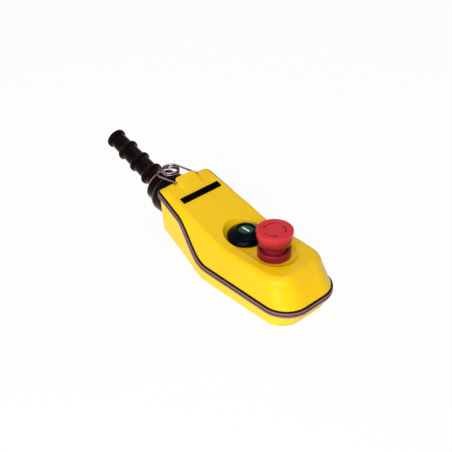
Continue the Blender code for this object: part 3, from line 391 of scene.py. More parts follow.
def tab_rows():
    """Rows of the tab; its crown climbs by 4 mm over 22 mm, less the 0.4 mm that its root is sunk."""
    quarter = np.linspace(0, math.pi / 2, 9)
    end = np.column_stack([TAB_END + TAB_CORNER * (1 - np.cos(quarter)),
                           TAB_HALF - TAB_CORNER * (1 - np.sin(quarter))])
    root = TAB_END + TAB_LONG
    side = np.column_stack([np.linspace(end[-1, 0], root, 8)[1:], np.full(7, TAB_HALF)])
    half = np.vstack([[(TAB_END, 0)], end, side, [(root, 0)]])
    loop = np.vstack([half, half[-2:0:-1] * [1, -1]])

    def crown(x):
        return top_z(x) + TAB_RISE * (root - x) / TAB_LONG - TAB_SUNK

    rows = [at(loop, top_z(loop[:, 0]) - WALL / 2), at(loop, crown(loop[:, 0]) - TAB_EDGE)]
    middle = np.column_stack([loop[:, 0], np.zeros(len(loop))])
    inner = loop + (middle - loop) * TAB_INWARD
    inner[:, 0] = np.clip(inner[:, 0], TAB_END + TAB_EDGE, root)
    rows += list(bend(rows[-1], at(loop, crown(loop[:, 0])), at(inner, crown(inner[:, 0])), 7))[1:]
    return rows


carve(cover, skin("cutter", tab_rows(), (True, True)), "UNION")
seat_z = BAIL_Z - WIRE_R - SEAT_DEEP
for side in (1, -1):
    low = (BAIL_X - SEAT_BACK, side * SEAT_Y - SEAT_HALF, seat_z)
    carve(cover, box_tool(low, (BAIL_X + SEAT_FRONT, side * SEAT_Y + SEAT_HALF, seat_z + 4 * MM)))
    low = (CABLE_X - MM, side * NOTCH_Y - NOTCH_HALF, seat_z + NOTCH_LIFT)
    carve(cover, box_tool(low, (CABLE_X + NOTCH_LONG, side * NOTCH_Y + NOTCH_HALF, seat_z + 6 * MM)))
print("tab joined, wire seats cut")

# %% [markdown]
# ## The base
# The base is a deep tray. Its rim carries the gasket, its walls lean in by a few degrees and
# roll over into the flat underside with a large radius. The skin is closed in the same way
# as the cover's: outside first, then back along the inside. The cable inlet and the sunk
# holes of the closing screws are cut from it.

# %% Base rows
WALL_DRAFT, NOSE_INSET = 0.075, 5.5 * MM
FILLET_CABLE, FILLET_MORE, FILLET_NOSE = 8 * MM, 1 * MM, 2.5 * MM
FACE_BACK_X, FACE_FRONT_X = -98 * MM, 42 * MM
RIM_LIP = 0.4 * MM


def base_outline():
    """The foot of the wall: the rim moved in by 0.075 of its depth, and by up to 5.5 mm on the nose."""
    rim_z = SEAM - GASKET
    foot = inset(RIM, WALL_DRAFT * (rim_z - underside_z(RIM[:, 0])))
    share = np.clip((RIM[:, 0] - WIDEST_X) / (NOSE_X - WIDEST_X), 0, 1) ** 3
    foot[:, 0] = RIM[:, 0] - share * NOSE_INSET
    forward = np.clip((foot[:, 0] - CABLE_X) / (WIDEST_X - CABLE_X), 0, 1)
    radius = FILLET_CABLE + FILLET_MORE * forward + FILLET_NOSE * share
    return rim_z, foot, radius


def base_rows(depth):
    """The tray's rows at a depth inside its outer skin: rim, wall, rolled edge, then the flat face."""
    rim_z, foot, radius = base_outline()
    rim = inset(RIM, depth)
    foot = inset(foot, depth)
    radius = radius - depth
    foot_z = underside_z(foot[:, 0]) + depth + radius
    rows = [at(rim + (foot - rim) * t, rim_z + (foot_z - rim_z) * t) for t in np.linspace(0, 1, 9)]
    for angle in np.linspace(0, math.pi / 2, 10)[1:]:
        loop = inset(foot, radius * (1 - math.cos(angle)))
        rows.append(at(loop, foot_z - radius * math.sin(angle)))
    face = rows[-1][:, :2]
    rows[-1][:, 2] = underside_z(face[:, 0]) + depth
    core = nearest(face, FACE_BACK_X, FACE_FRONT_X)
    for t in np.linspace(0, 0.98, 9)[1:]:
        loop = face + (core - face) * t
        rows.append(at(loop, underside_z(loop[:, 0]) + depth))
    return rows


outer, inner = base_rows(0.0), base_rows(WALL)
outer[0][:, 2] -= RIM_LIP
lip = at(inset(RIM, RIM_LIP), outer[0][:, 2] + RIM_LIP)
base = skin("base", outer[::-1] + [lip] + inner, (True, True))
print("base skin:", len(base.data.polygons), "faces")

# %% Inlet and screw holes
INLET_Z, INLET_R = 55.3 * MM, 16 * MM
BOSS_R, HEAD_HOLE_R, SHANK_HOLE_R = 5.6 * MM, 4 * MM, 2.3 * MM
BOSS_GAP, SHANK_LONG = 0.15 * MM, 12 * MM
SCREW_PAIRS = ((53 * MM, 22 * MM), (-2 * MM, 28.5 * MM), (-106 * MM, 23 * MM))
circle = np.linspace(0, 2 * math.pi, 64, endpoint=False)
ends = [np.column_stack([np.full(64, x), INLET_R * np.cos(circle), INLET_Z + INLET_R * np.sin(circle)])
        for x in (CABLE_X - 4 * WALL, CABLE_X + 4 * WALL)]
carve(base, skin("cutter", ends, (True, True)))
for x, y in [(x, side * y) for x, y in SCREW_PAIRS for side in (1, -1)]:
    low = float(underside_z(x))
    joint = float(seam_z(x) - gasket_height(x) / 2) - BOSS_GAP
    carve(base, drum(BOSS_R, low + 0.75 * WALL, joint, (x, y), 40), "UNION")
    carve(base, drum(HEAD_HOLE_R, low - 20 * MM, joint - SHANK_LONG, (x, y), 40))
    carve(base, drum(SHANK_HOLE_R, low - MM, joint + MM, (x, y), 24))
print("base cut for", 2 * len(SCREW_PAIRS), "screws and the cable")

# %% [markdown]
# ## The gasket
# A rubber ring is squeezed between the two shells. Outside it shows two round ribs with a
# groove between them. The section is carried round the rim: for each point across the
# section, the rim is moved outwards by the rib's height and placed at its share of the gap.
# The rubber is near black. Its ribs are painted light as a highlight, while the groove and edges
# keep the near black, which also stands for the shade there. So each point also keeps a number,
# one on a rib's crest and zero in the groove, for the material to read.

# %% Gasket sweep
GROOVE_OUT, RIB_RISE, GASKET_GAP = 1.0 * MM, 1.5 * MM, 0.3 * MM


def gasket_rows(points=37):
    """Rib height over the section: groove + rise * sqrt(1 - (2|u| - 1)^2) for u from -1 to 1."""
    u = np.linspace(-1, 1, points)
    u = np.sign(u) * (0.5 - 0.5 * np.cos(np.abs(u) * math.pi))
    rib = np.sqrt(np.clip(1 - (2 * np.abs(u) - 1) ** 2, 0, 1))
    out = GROOVE_OUT + RIB_RISE * rib
    section = [(0.0, -1.0)] + list(zip(out, u)) + [(0.0, 1.0), (-WALL, 1.0), (-WALL, -1.0)]
    middle = SEAM - GASKET / 2
    rows = [at(inset(RIM, -o), middle + v * (GASKET / 2 - GASKET_GAP)) for o, v in section]
    crest = np.array([0, *rib, 0, 0, 0])[:, None] * np.ones(len(RIM))
    return rows, crest


rows, crest = gasket_rows()
gasket = skin("gasket", rows, closed=True, crest=crest)
print("gasket:", len(gasket.data.polygons), "faces")

# %% [markdown]
# ## The cable boot
# The boot is soft moulded rubber: a base cup against the housing, a bell, then a tapering
# tube with four stiffening rings. Its section is a list of distances along the axis and
# radii. The axis runs level out of the wall, bends up on an arc and goes on straight, and
# each row is a circle square to it.

# %% Boot along its axis
TILT = math.radians(18.1)
BEND_START, BEND_LONG = 12 * MM, 20 * MM
BOOT_LONG = 128.8 * MM
RING_R = (14.8 * MM, 13.9 * MM, 13.5 * MM, 12.4 * MM)
RING_WIDE = 5.2 * MM
FIRST_RING = 57.2 * MM
TUBE_R, TUBE_TAPER = 11.6 * MM, 1.8 * MM
BELL_END, BELL_R, NECK_LONG = 37.5 * MM, 21.1 * MM, 10.5 * MM
BORE_R, CUP_BORE_R, BORE_LONG = 6.8 * MM, 12.5 * MM, 48.8 * MM
BOOT_COLLAR_R = 15.7 * MM
TIP_EDGE = 1.2 * MM


def spine(s):
    """Axis point and heading at distance s: level, then an arc of radius length / tilt, then straight."""
    turned = np.clip((s - BEND_START) / BEND_LONG, 0, 1) * TILT
    radius = BEND_LONG / TILT
    rest = np.maximum(s - BEND_START - BEND_LONG, 0)
    x = CABLE_X - np.minimum(s, BEND_START) - radius * np.sin(turned) - rest * np.cos(turned)
    z = INLET_Z + radius * (1 - np.cos(turned)) + rest * np.sin(turned)
    return x, z, turned


def along_spine(profile, sides=96):
    """Circles of the profile's radii, square to the axis at the profile's distances."""
    s, r = np.array(profile)[:, 0], np.array(profile)[:, 1]
    x, z, turned = spine(s)
    a = np.linspace(0, 2 * math.pi, sides, endpoint=False)
    up = r[:, None] * np.sin(a)
    return np.stack([x[:, None] + up * np.sin(turned)[:, None], r[:, None] * np.cos(a),
                     z[:, None] + up * np.cos(turned)[:, None]], axis=-1)


def tube_r(s):
    """The plain tube's radius: 11.6 mm at the first ring, tapering to 9.8 mm at the tip."""
    return TUBE_R - TUBE_TAPER * np.clip((s - FIRST_RING) / (BOOT_LONG - FIRST_RING), 0, 1)


def boot_profile():
    """Distance and radius from inside the wall, over cup, bell and rings, to the tip, then the bore.

    From the bell the radius falls to the tube's along half a cosine wave, and each ring bulges as
    a sine to the power 0.55.
    """
    inside, hole = 19 * MM, BOOT_COLLAR_R
    foot, cup = 20.7 * MM, 25.2 * MM
    corners = [(-6 * MM, inside), (-3.3 * MM, inside), (-3.3 * MM, hole), (0.3 * MM, hole), (0.3 * MM, foot),
               (3.4 * MM, foot), (3.7 * MM, cup), (23.5 * MM, cup), (28.2 * MM, 23 * MM),
               (28.8 * MM, BELL_R + 0.1 * MM), (BELL_END, BELL_R)]
    path = list(rounded(corners, np.array([0.5, 0.2, 0.2, 0.2, 0.2, 1.5, 4.5, 1.5, 0.8]) * MM, 6))
    a = np.linspace(0, math.pi, 19)[1:]
    fall = (BELL_R - TUBE_R) * (1 + np.cos(a)) / 2
    path += list(np.column_stack([BELL_END + NECK_LONG * a / math.pi, TUBE_R + fall]))
    pitch = (BOOT_LONG - RING_WIDE / 2 - FIRST_RING) / 3
    for index, ring in enumerate(RING_R):
        middle = FIRST_RING + index * pitch
        a = np.linspace(0, math.pi, 17)
        offset = -np.cos(a) * RING_WIDE / 2
        bulge = np.clip(np.sin(a), 0, 1) ** 0.55
        plain = tube_r(middle + offset)
        path += list(np.column_stack([middle + offset, plain + (ring - plain) * bulge]))
    path = [point for point in path if point[0] < BOOT_LONG - TIP_EDGE]
    end = [(BOOT_LONG - TIP_EDGE, RING_R[-1] - 0.1 * MM), (BOOT_LONG, RING_R[-1] - 0.4 * MM),
           (BOOT_LONG, BORE_R), (BOOT_LONG - 10 * MM, BORE_R)]
    path += list(rounded(end, [0.8 * MM, 0.9 * MM], 5))
    path += [(BOOT_LONG - BORE_LONG, BORE_R), (46 * MM, BORE_R)]
    path += [(s * MM, CUP_BORE_R) for s in (34, 30, 26, 22, 18, 14, 10, -6)]
    return path


boot = skin("boot", along_spine(boot_profile()), closed=True)
print("boot:", len(boot.data.polygons), "faces")

# %% [markdown]
# ## The wire bail
# One length of polished spring wire: it hooks into the tab, runs back along both sides and
# winds twice round to make an eye in the middle. The path is worked out level, turned down
# by 4.5 degrees about its pivots, and a circle is carried along it without twisting.

# %% Wire path and sweep
def smooth_path(points, step):
    """Resamples a polyline evenly, so that the circles carried along it stand close together."""
    points = np.array(points)
    length = np.concatenate([[0], np.cumsum(np.linalg.norm(np.diff(points, axis=0), axis=1))])
    even = np.linspace(0, length[-1], int(length[-1] / step) + 2)
    return np.column_stack([np.interp(even, length, points[:, k]) for k in range(3)])


def sweep(name, path, radius, sides=20):
    """A round wire: at each point the circle's first axis is the last one made square to the path."""
    path = np.array(path)
    tangent = np.gradient(path, axis=0)
    tangent /= np.linalg.norm(tangent, axis=1)[:, None]
    side = np.cross(tangent[0], (0.0, 0.0, 1.0))
    a = np.linspace(0, 2 * math.pi, sides, endpoint=False)
    rows = []
    for point, heading in zip(path, tangent):
        side = side - heading * np.dot(side, heading)
        side /= np.linalg.norm(side)
        other = np.cross(heading, side)
        rows.append(point + radius * (np.outer(np.cos(a), side) + np.outer(np.sin(a), other)))
    return skin(name, rows, (True, True))


COIL_R, BAIL_REACH, PIN_LONG = 9.8 * MM, 29 * MM, 7 * MM
BAIL_DROP = math.radians(4.5)


def bail_wire():
    """Pin, leg, a half turn that winds inwards, two turns of 9.8 mm radius, leg on a tangent, pin."""
    leg, reach, coil_r = TAB_HALF + WIRE_R + 0.6 * MM, BAIL_REACH, COIL_R
    rise = 2 * WIRE_R + 0.3 * MM
    pin_r = leg - TAB_HALF
    a = np.linspace(0, math.pi / 2, 13)
    elbow = np.column_stack([-pin_r * (1 - np.cos(a)), -leg + pin_r * (1 - np.sin(a)), 0 * a])
    pin = np.vstack([[(0, -leg + PIN_LONG, 0)], elbow])
    t = np.linspace(0, 1, 49)
    winding = leg + (coil_r - leg) * soft(t, 0, 1)
    a = -math.pi / 2 - math.pi * t
    spiral = np.column_stack([winding * np.cos(a) - reach, winding * np.sin(a), 0 * t - rise])
    run = reach - pin_r
    leave = math.atan2(leg, run) + math.acos(coil_r / math.hypot(run, leg)) - 4 * math.pi
    a = np.linspace(math.pi / 2, leave, 145)[1:]
    climb = -rise + 2 * rise * (math.pi / 2 - a) / (math.pi / 2 - leave)
    coil = np.column_stack([coil_r * np.cos(a) - reach, coil_r * np.sin(a), climb])
    path = smooth_path(np.vstack([pin, spiral, coil, pin[::-1] * [1, -1, 1]]), 0.6 * MM)
    x, z = path[:, 0], path[:, 2]
    along, up = math.cos(BAIL_DROP), math.sin(BAIL_DROP)
    return np.column_stack([x * along - z * up, path[:, 1], x * up + z * along]) + [BAIL_X, 0, BAIL_Z]


bail = sweep("bail", bail_wire(), WIRE_R)
low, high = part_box("suspension_bail")
print("bail:", [round(c / MM, 1) for c in low], [round(c / MM, 1) for c in high])

# %% [markdown]
# ## The stop button
# A mushroom head that can be hit with the whole hand. It is turned on a lathe as far as it
# goes, but its top carries three arrows that say which way to twist it free. The top face is
# therefore a polar grid of its own, with heights: a raised rim, a step down, a shallow dimple
# and the arrows pressed 0.7 mm deep. The grid's last ring goes on into the lathed side.

# %% Head
HEAD_RIM = POCKET_FLOOR + 31.2 * MM
HEAD_FOOT = POCKET_FLOOR + 14 * MM
HEAD_R, HEAD_EDGE_R, NECK_HOLE_R = 20 * MM, 18.8 * MM, 4.9 * MM
HEAD_CROWN, HEAD_SAG, RIM_STEP, DIMPLE, ARROW_DEEP = 1.2 * MM, 0.5 * MM, 0.7 * MM, 0.45 * MM, 0.7 * MM
DIMPLE_R, STEP_R, FALL_R = (4.6 * MM, 5.6 * MM), (15.2 * MM, 15.9 * MM), (17 * MM, 19 * MM)
RIM_FALL = 0.35
ARROW_R, STROKE_HALF, POINT_HALF = 11.6 * MM, 0.85 * MM, 2.2 * MM
STROKE_START, STROKE_END, POINT_START, POINT_LONG = np.radians([18, 76, 74, 22])
AROUND = 288


def arrow_depth(r, a):
    """How deep the twist arrows are pressed, 0 to 1, at radius r and angle a.

    Each arrow is an arc stroke at 11.6 mm and 1.7 mm wide, then a head that narrows from 4.4 mm
    to a point over 22 degrees of the circle.
    """
    turn = np.mod(a, 2 * math.pi / 3)
    away = np.abs(r - ARROW_R)
    stroke = (away < STROKE_HALF) & (turn > STROKE_START) & (turn < STROKE_END)
    share = (turn - POINT_START) / POINT_LONG
    head = (share > 0) & (share < 1) & (away < POINT_HALF * (1 - share))
    return (stroke | head).astype(float)


def head_top_z(r, a):
    """Height of the top: dimple in the middle, disc, step up at 15.6 mm, raised rim, pressed arrows."""
    z = HEAD_RIM + HEAD_CROWN - HEAD_SAG * (r / HEAD_R) ** 2
    z += RIM_STEP * soft(r, *STEP_R) * (1 - RIM_FALL * soft(r, *FALL_R))
    z -= DIMPLE * (1 - soft(r, *DIMPLE_R))
    return z - ARROW_DEEP * arrow_depth(r, a)


def stop_head():
    """Rows from the middle of the top outwards, then the bowl-shaped flank, foot and socket."""
    a = np.linspace(0, 2 * math.pi, AROUND, endpoint=False)

    def ring(r, z):
        return np.column_stack([STOP_X + r * np.cos(a), r * np.sin(a), z + 0 * a])

    steps = [[0.02], np.arange(1, 9, 1), np.arange(9, 14.8, 0.2), np.arange(14.8, 18.9, 0.25)]
    rows = [ring(r, head_top_z(r, a)) for r in np.concatenate(steps) * MM]
    top = float(head_top_z(HEAD_EDGE_R, 0.0))
    deep = HEAD_RIM - HEAD_FOOT
    socket = HEAD_FOOT + 8 * MM
    corners = [(HEAD_EDGE_R, top), (HEAD_R, top - 0.2 * MM)]
    corners += [(HEAD_R * r, HEAD_RIM - deep * z) for r, z in
                ((1, 0.17), (0.985, 0.19), (0.975, 0.36), (0.94, 0.56), (0.885, 0.8), (0.83, 0.96))]
    corners += [(15 * MM, HEAD_FOOT), (NECK_HOLE_R, HEAD_FOOT), (NECK_HOLE_R, socket), (0.1 * MM, socket)]
    side = rounded(corners, np.array([1.5, 0.4, 0.4, 1.5, 2.5, 2.5, 1.6, 0.6, 0.1, 0]) * MM, 6)
    rows += [ring(r, z) for r, z in side[1:]]
    return skin("stop_mushroom", rows, (True, True), angle=math.radians(30))


mushroom = stop_head()
middles = np.empty(3 * len(mushroom.data.polygons))
mushroom.data.polygons.foreach_get("center", middles)
x, y, z = middles.reshape(-1, 3).T
pressed = (arrow_depth(np.hypot(x - STOP_X, y), np.arctan2(y, x - STOP_X)) > 0) & (z > HEAD_RIM)
print("head:", len(mushroom.data.polygons), "faces, of them pressed:", int(pressed.sum()))

# %% [markdown]
# ## Collar, guard and start cap
# The remaining button parts are plain turned shapes. The collar is a flat ring round the neck,
# coloured a dark red that is the stop red in painted shade under the head. The guard is a rubber
# cone that keeps the thumb from hitting the start cap by chance, and the cap sits just below its
# mouth with a white bar moulded into it.

# %% Turned parts
def turned(name, corners, radii, centre_x, closed=True):
    """A lathed piece from corners in mm, heights counted from the pocket's floor, each corner rounded."""
    corners = np.array(corners, dtype=float) * MM + [0, POCKET_FLOOR]
    return lathe(name, rounded(corners, np.array(radii) * MM, 6), (centre_x, 0), 128, closed)


collar = turned("collar", [(14.6, 5.0), (14.6, 9.3), (18.3, 9.3), (18.5, 0.3), (11.2, 0.3), (11.2, 1.5),
                           (14.6, 1.5), (14.6, 4.9)], [1.0, 1.2, 0.8, 0.1, 0.1, 0.1], STOP_X)
guard = turned("guard", [(9.0, 8.0), (9.0, 11.8), (10.9, 11.8), (14.4, 9.3), (19.2, 6.3), (21.1, 2.6),
                         (20.8, 0.3), (11.2, 0.3), (11.2, 2.0), (12.6, 4.0), (9.0, 6.0), (9.0, 7.9)],
               [0.5, 0.9, 2.0, 3.0, 1.2, 0.3, 0.1, 0.1, 0.1, 0.5], START_X)
cap = turned("cap", [(0.02, 10.5), (8.7, 10.4), (8.7, 5.5), (4.9, 5.5), (4.9, 8.5), (0.02, 8.5)],
             [0.9, 0.2, 0.1, 0.1], START_X, closed=False)
BAR_LONG, BAR_WIDE, BAR_EDGE = 11 * MM, 2.2 * MM, 0.12 * MM
BAR_LOW, BAR_HIGH = POCKET_FLOOR + 10 * MM, POCKET_FLOOR + 10.65 * MM


def bar_rows():
    """A flat bar with round ends and a rounded top edge, as rings from below to above."""
    a = np.linspace(0, 2 * math.pi, 48, endpoint=False)
    shift = np.where(np.cos(a) >= 0, 1, -1) * (BAR_LONG - BAR_WIDE) / 2
    profile = rounded([(BAR_WIDE / 2, BAR_LOW), (BAR_WIDE / 2, BAR_HIGH), (0, BAR_HIGH)], [BAR_EDGE], 3)
    return [np.column_stack([START_X + shift + r * np.cos(a), r * np.sin(a), np.full(48, z)])
            for r, z in profile[:-1]]


bar = skin("bar", bar_rows(), (True, True))
print("turned parts and bar ready")

# %% [markdown]
# ## The label plate
# A thin black plate lies across the handle. On the real part it carries a name, so here it
# stays blank. It is a rounded rectangle laid on the sloping face, with a softened upper edge.

# %% Label
LABEL_X, LABEL_LIFT, LABEL_CORNER = -96.6 * MM, 0.3 * MM, 0.8 * MM
LABEL_HALF_LONG, LABEL_HALF_WIDE = 28 * MM, 4.2 * MM


def label_rows():
    """Rounded rectangle 8.4 by 56 mm, 0.8 mm thick, tilted with the handle by atan(0.29)."""
    a = np.linspace(0, 2 * math.pi, 64, endpoint=False)
    rows = []
    for inward, lift in ((0, 0), (0, 0.5), (0.08, 0.68), (0.25, 0.78), (0.5, 0.8)):
        r = LABEL_CORNER - inward * MM
        u = np.where(np.cos(a) >= 0, 1, -1) * (LABEL_HALF_WIDE - LABEL_CORNER) + r * np.cos(a)
        v = np.where(np.sin(a) >= 0, 1, -1) * (LABEL_HALF_LONG - LABEL_CORNER) + r * np.sin(a)
        rows.append(np.column_stack([u, v, np.full(64, lift * MM)]))
    rows = np.array(rows)
    tilt = math.atan(TOP_SLOPE)
    x = rows[..., 0] * math.cos(tilt) + rows[..., 2] * math.sin(tilt)
    z = -rows[..., 0] * math.sin(tilt) + rows[..., 2] * math.cos(tilt)
    return np.stack([LABEL_X + x, rows[..., 1], float(top_z(LABEL_X)) + LABEL_LIFT + z], axis=-1)


label = skin("label", label_rows(), (True, True))
print("label ready")

# %% [markdown]
# ## Closing screws
# Six screws close the shells from below. They sit deep in their holes, and what can be seen of
# them is a domed head with a cross cut into it. The box of the mechanical piece gives the place.

# %% Screws
SCREW_HEAD_R, SCREW_HEAD_HIGH, SCREW_R = 3.35 * MM, 2 * MM, 1.7 * MM
SLOT_HALF_LONG, SLOT_HALF_WIDE, SLOT_DEEP = 2.0 * MM, 0.45 * MM, 1.0 * MM


def closing_screw(node):
    """Head and shank on the lathe, then two crossed slots 0.9 mm wide cut into the head."""
    low, high = (np.array(corner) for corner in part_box(node))
    foot, tip = low[2], high[2]
    centre = (low + high)[:2] / 2
    neck = foot + SCREW_HEAD_HIGH
    corners = [(0.0, foot), (1.9 * MM, foot), (SCREW_HEAD_R, foot + 0.7 * MM), (SCREW_HEAD_R, neck),
               (SCREW_R, neck), (SCREW_R, tip - 0.8 * MM), (1.1 * MM, tip), (0.0, tip)]
    profile = rounded(corners, np.array([1.2, 0.6, 0.1, 0.1, 0.1, 0.1]) * MM, 4)
    screw = lathe("cross_" + node, profile, centre, 32)
    for half_x, half_y in ((SLOT_HALF_LONG, SLOT_HALF_WIDE), (SLOT_HALF_WIDE, SLOT_HALF_LONG)):
        reach = np.array([half_x, half_y, SLOT_DEEP])
        middle = np.array([*centre, foot])
        carve(screw, box_tool(middle - reach, middle + reach))
    return screw


screws = {node: closing_screw(node) for node in nodes if node.startswith("closing_screw")}
print("cross-headed screws:", len(screws))

# %% [markdown]
# ## Return springs
# Inside each barrel a coil spring pushes its button back up. It stands on the barrel's floor and
# ends under the stem's shoulder.

# %% Springs
SPRING_WIRE, SPRING_TURNS = 0.55 * MM, 6
SPRINGS = {"start_spring": "start_button", "stop_spring": "stop_slide"}


def return_spring(node):
    """A helix with half a turn lying flat at each end, filling the box of the mechanical piece."""
    low, high = (np.array(corner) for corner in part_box(node))
    x, y, _ = (low + high) / 2
    foot, head = low[2] + SPRING_WIRE, high[2] - SPRING_WIRE
    radius = (high - low)[0] / 2 - SPRING_WIRE
    a = np.linspace(0, 2 * math.pi * SPRING_TURNS, 48 * SPRING_TURNS + 1)
    share = np.clip((a / (2 * math.pi) - 0.5) / (SPRING_TURNS - 1), 0, 1)
    path = np.column_stack([x + radius * np.cos(a), y + radius * np.sin(a), foot + (head - foot) * share])
    spring = sweep("coil_" + node, path, SPRING_WIRE, 12)
    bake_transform(spring)
    return spring


springs = {node: return_spring(node) for node, mover in SPRINGS.items()}
print("return springs:", len(springs))

# %% [markdown]
# ## Finishes
# Nothing on the real handset is one flat colour. Moulded plastic drifts a little in tone, its
# gloss is uneven, and a fine grain from the mould breaks up the highlights. Each finish
# below is the same small node tree with its own numbers: a slow noise mixes two close tones, a
# second noise moves the roughness, and a fine noise drives a bump. All noises read Object
# coordinates in metres, so a scale of 1000 means features of about a millimetre.

# %% Finish builder
def finish(name, light, dark, rough, grain, depth, **extra):
    """A procedural finish: two tones, a roughness range, and a grain of a scale and depth in metres.

    Extra values are cloud (the scale of the tones) and the shader's own inputs by their names.
    """
    material = bpy.data.materials.new(name)
    material.use_nodes = True
    tree = material.node_tree
    shader = tree.nodes["Principled BSDF"]
    place = tree.nodes.new("ShaderNodeTexCoord").outputs["Object"]

    def noise(scale, detail):
        node = tree.nodes.new("ShaderNodeTexNoise")
        node.inputs["Scale"].default_value = scale
        node.inputs["Detail"].default_value = detail
        tree.links.new(place, node.inputs["Vector"])
        return node.outputs["Fac"]

    cloud = extra.pop("cloud", 24.0)
    tones = tree.nodes.new("ShaderNodeValToRGB")
    dark_end, light_end = tones.color_ramp.elements
    dark_end.position, light_end.position = 0.32, 0.68
    dark_end.color, light_end.color = (*dark, 1.0), (*light, 1.0)
    tree.links.new(noise(cloud, 4.0), tones.inputs["Fac"])
    tree.links.new(tones.outputs["Color"], shader.inputs["Base Color"])
    spread = tree.nodes.new("ShaderNodeMapRange")
    spread.inputs["To Min"].default_value = rough[0]
    spread.inputs["To Max"].default_value = rough[1]
    tree.links.new(noise(cloud * 4, 3.0), spread.inputs["Value"])
    tree.links.new(spread.outputs["Result"], shader.inputs["Roughness"])
    bump = tree.nodes.new("ShaderNodeBump")
    bump.inputs["Strength"].default_value = 0.6
    bump.inputs["Distance"].default_value = depth
    tree.links.new(noise(grain, 2.0), bump.inputs["Height"])
    tree.links.new(bump.outputs["Normal"], shader.inputs["Normal"])
    for key, value in extra.items():
        shader.inputs[key.replace("_", " ").title().replace("Ior", "IOR")].default_value = value
    return material


def paint_shade_below(material, low, high, least):
    """Painted shade: scales the finish's tones by a share from 1 at height high to least at low."""
    tree = material.node_tree
    shader = tree.nodes["Principled BSDF"]
    tones = shader.inputs["Base Color"].links[0].from_socket
    place = tree.nodes.new("ShaderNodeSeparateXYZ")
    tree.links.new(tree.nodes["Texture Coordinate"].outputs["Object"], place.inputs["Vector"])
    share = tree.nodes.new("ShaderNodeMapRange")
    share.inputs["From Min"].default_value = low
    share.inputs["From Max"].default_value = high
    share.inputs["To Min"].default_value = least
    tree.links.new(place.outputs["Z"], share.inputs["Value"])
    scaled = tree.nodes.new("ShaderNodeVectorMath")
    scaled.operation = "SCALE"
    tree.links.new(tones, scaled.inputs[0])
    tree.links.new(share.outputs["Result"], scaled.inputs["Scale"])
    tree.links.new(scaled.outputs["Vector"], shader.inputs["Base Color"])


def ribs_painted_highlight(material, groove):
    """Painted highlight: mixes the finish's tones towards the groove's colour where the crest number is low.
    """
    tree = material.node_tree
    shader = tree.nodes["Principled BSDF"]
    tones = shader.inputs["Base Color"].links[0].from_socket
    crest = tree.nodes.new("ShaderNodeAttribute")
    crest.attribute_name = "crest"
    share = tree.nodes.new("ShaderNodeMapRange")
    share.inputs["From Min"].default_value = 0.6
    share.inputs["From Max"].default_value = 0.98
    share.interpolation_type = "SMOOTHSTEP"
    tree.links.new(crest.outputs["Fac"], share.inputs["Value"])
    mix = tree.nodes.new("ShaderNodeMix")
    mix.data_type = "RGBA"
    mix.inputs["A"].default_value = (*groove, 1.0)
    tree.links.new(share.outputs["Result"], mix.inputs["Factor"])
    tree.links.new(tones, mix.inputs["B"])
    tree.links.new(mix.outputs["Result"], shader.inputs["Base Color"])


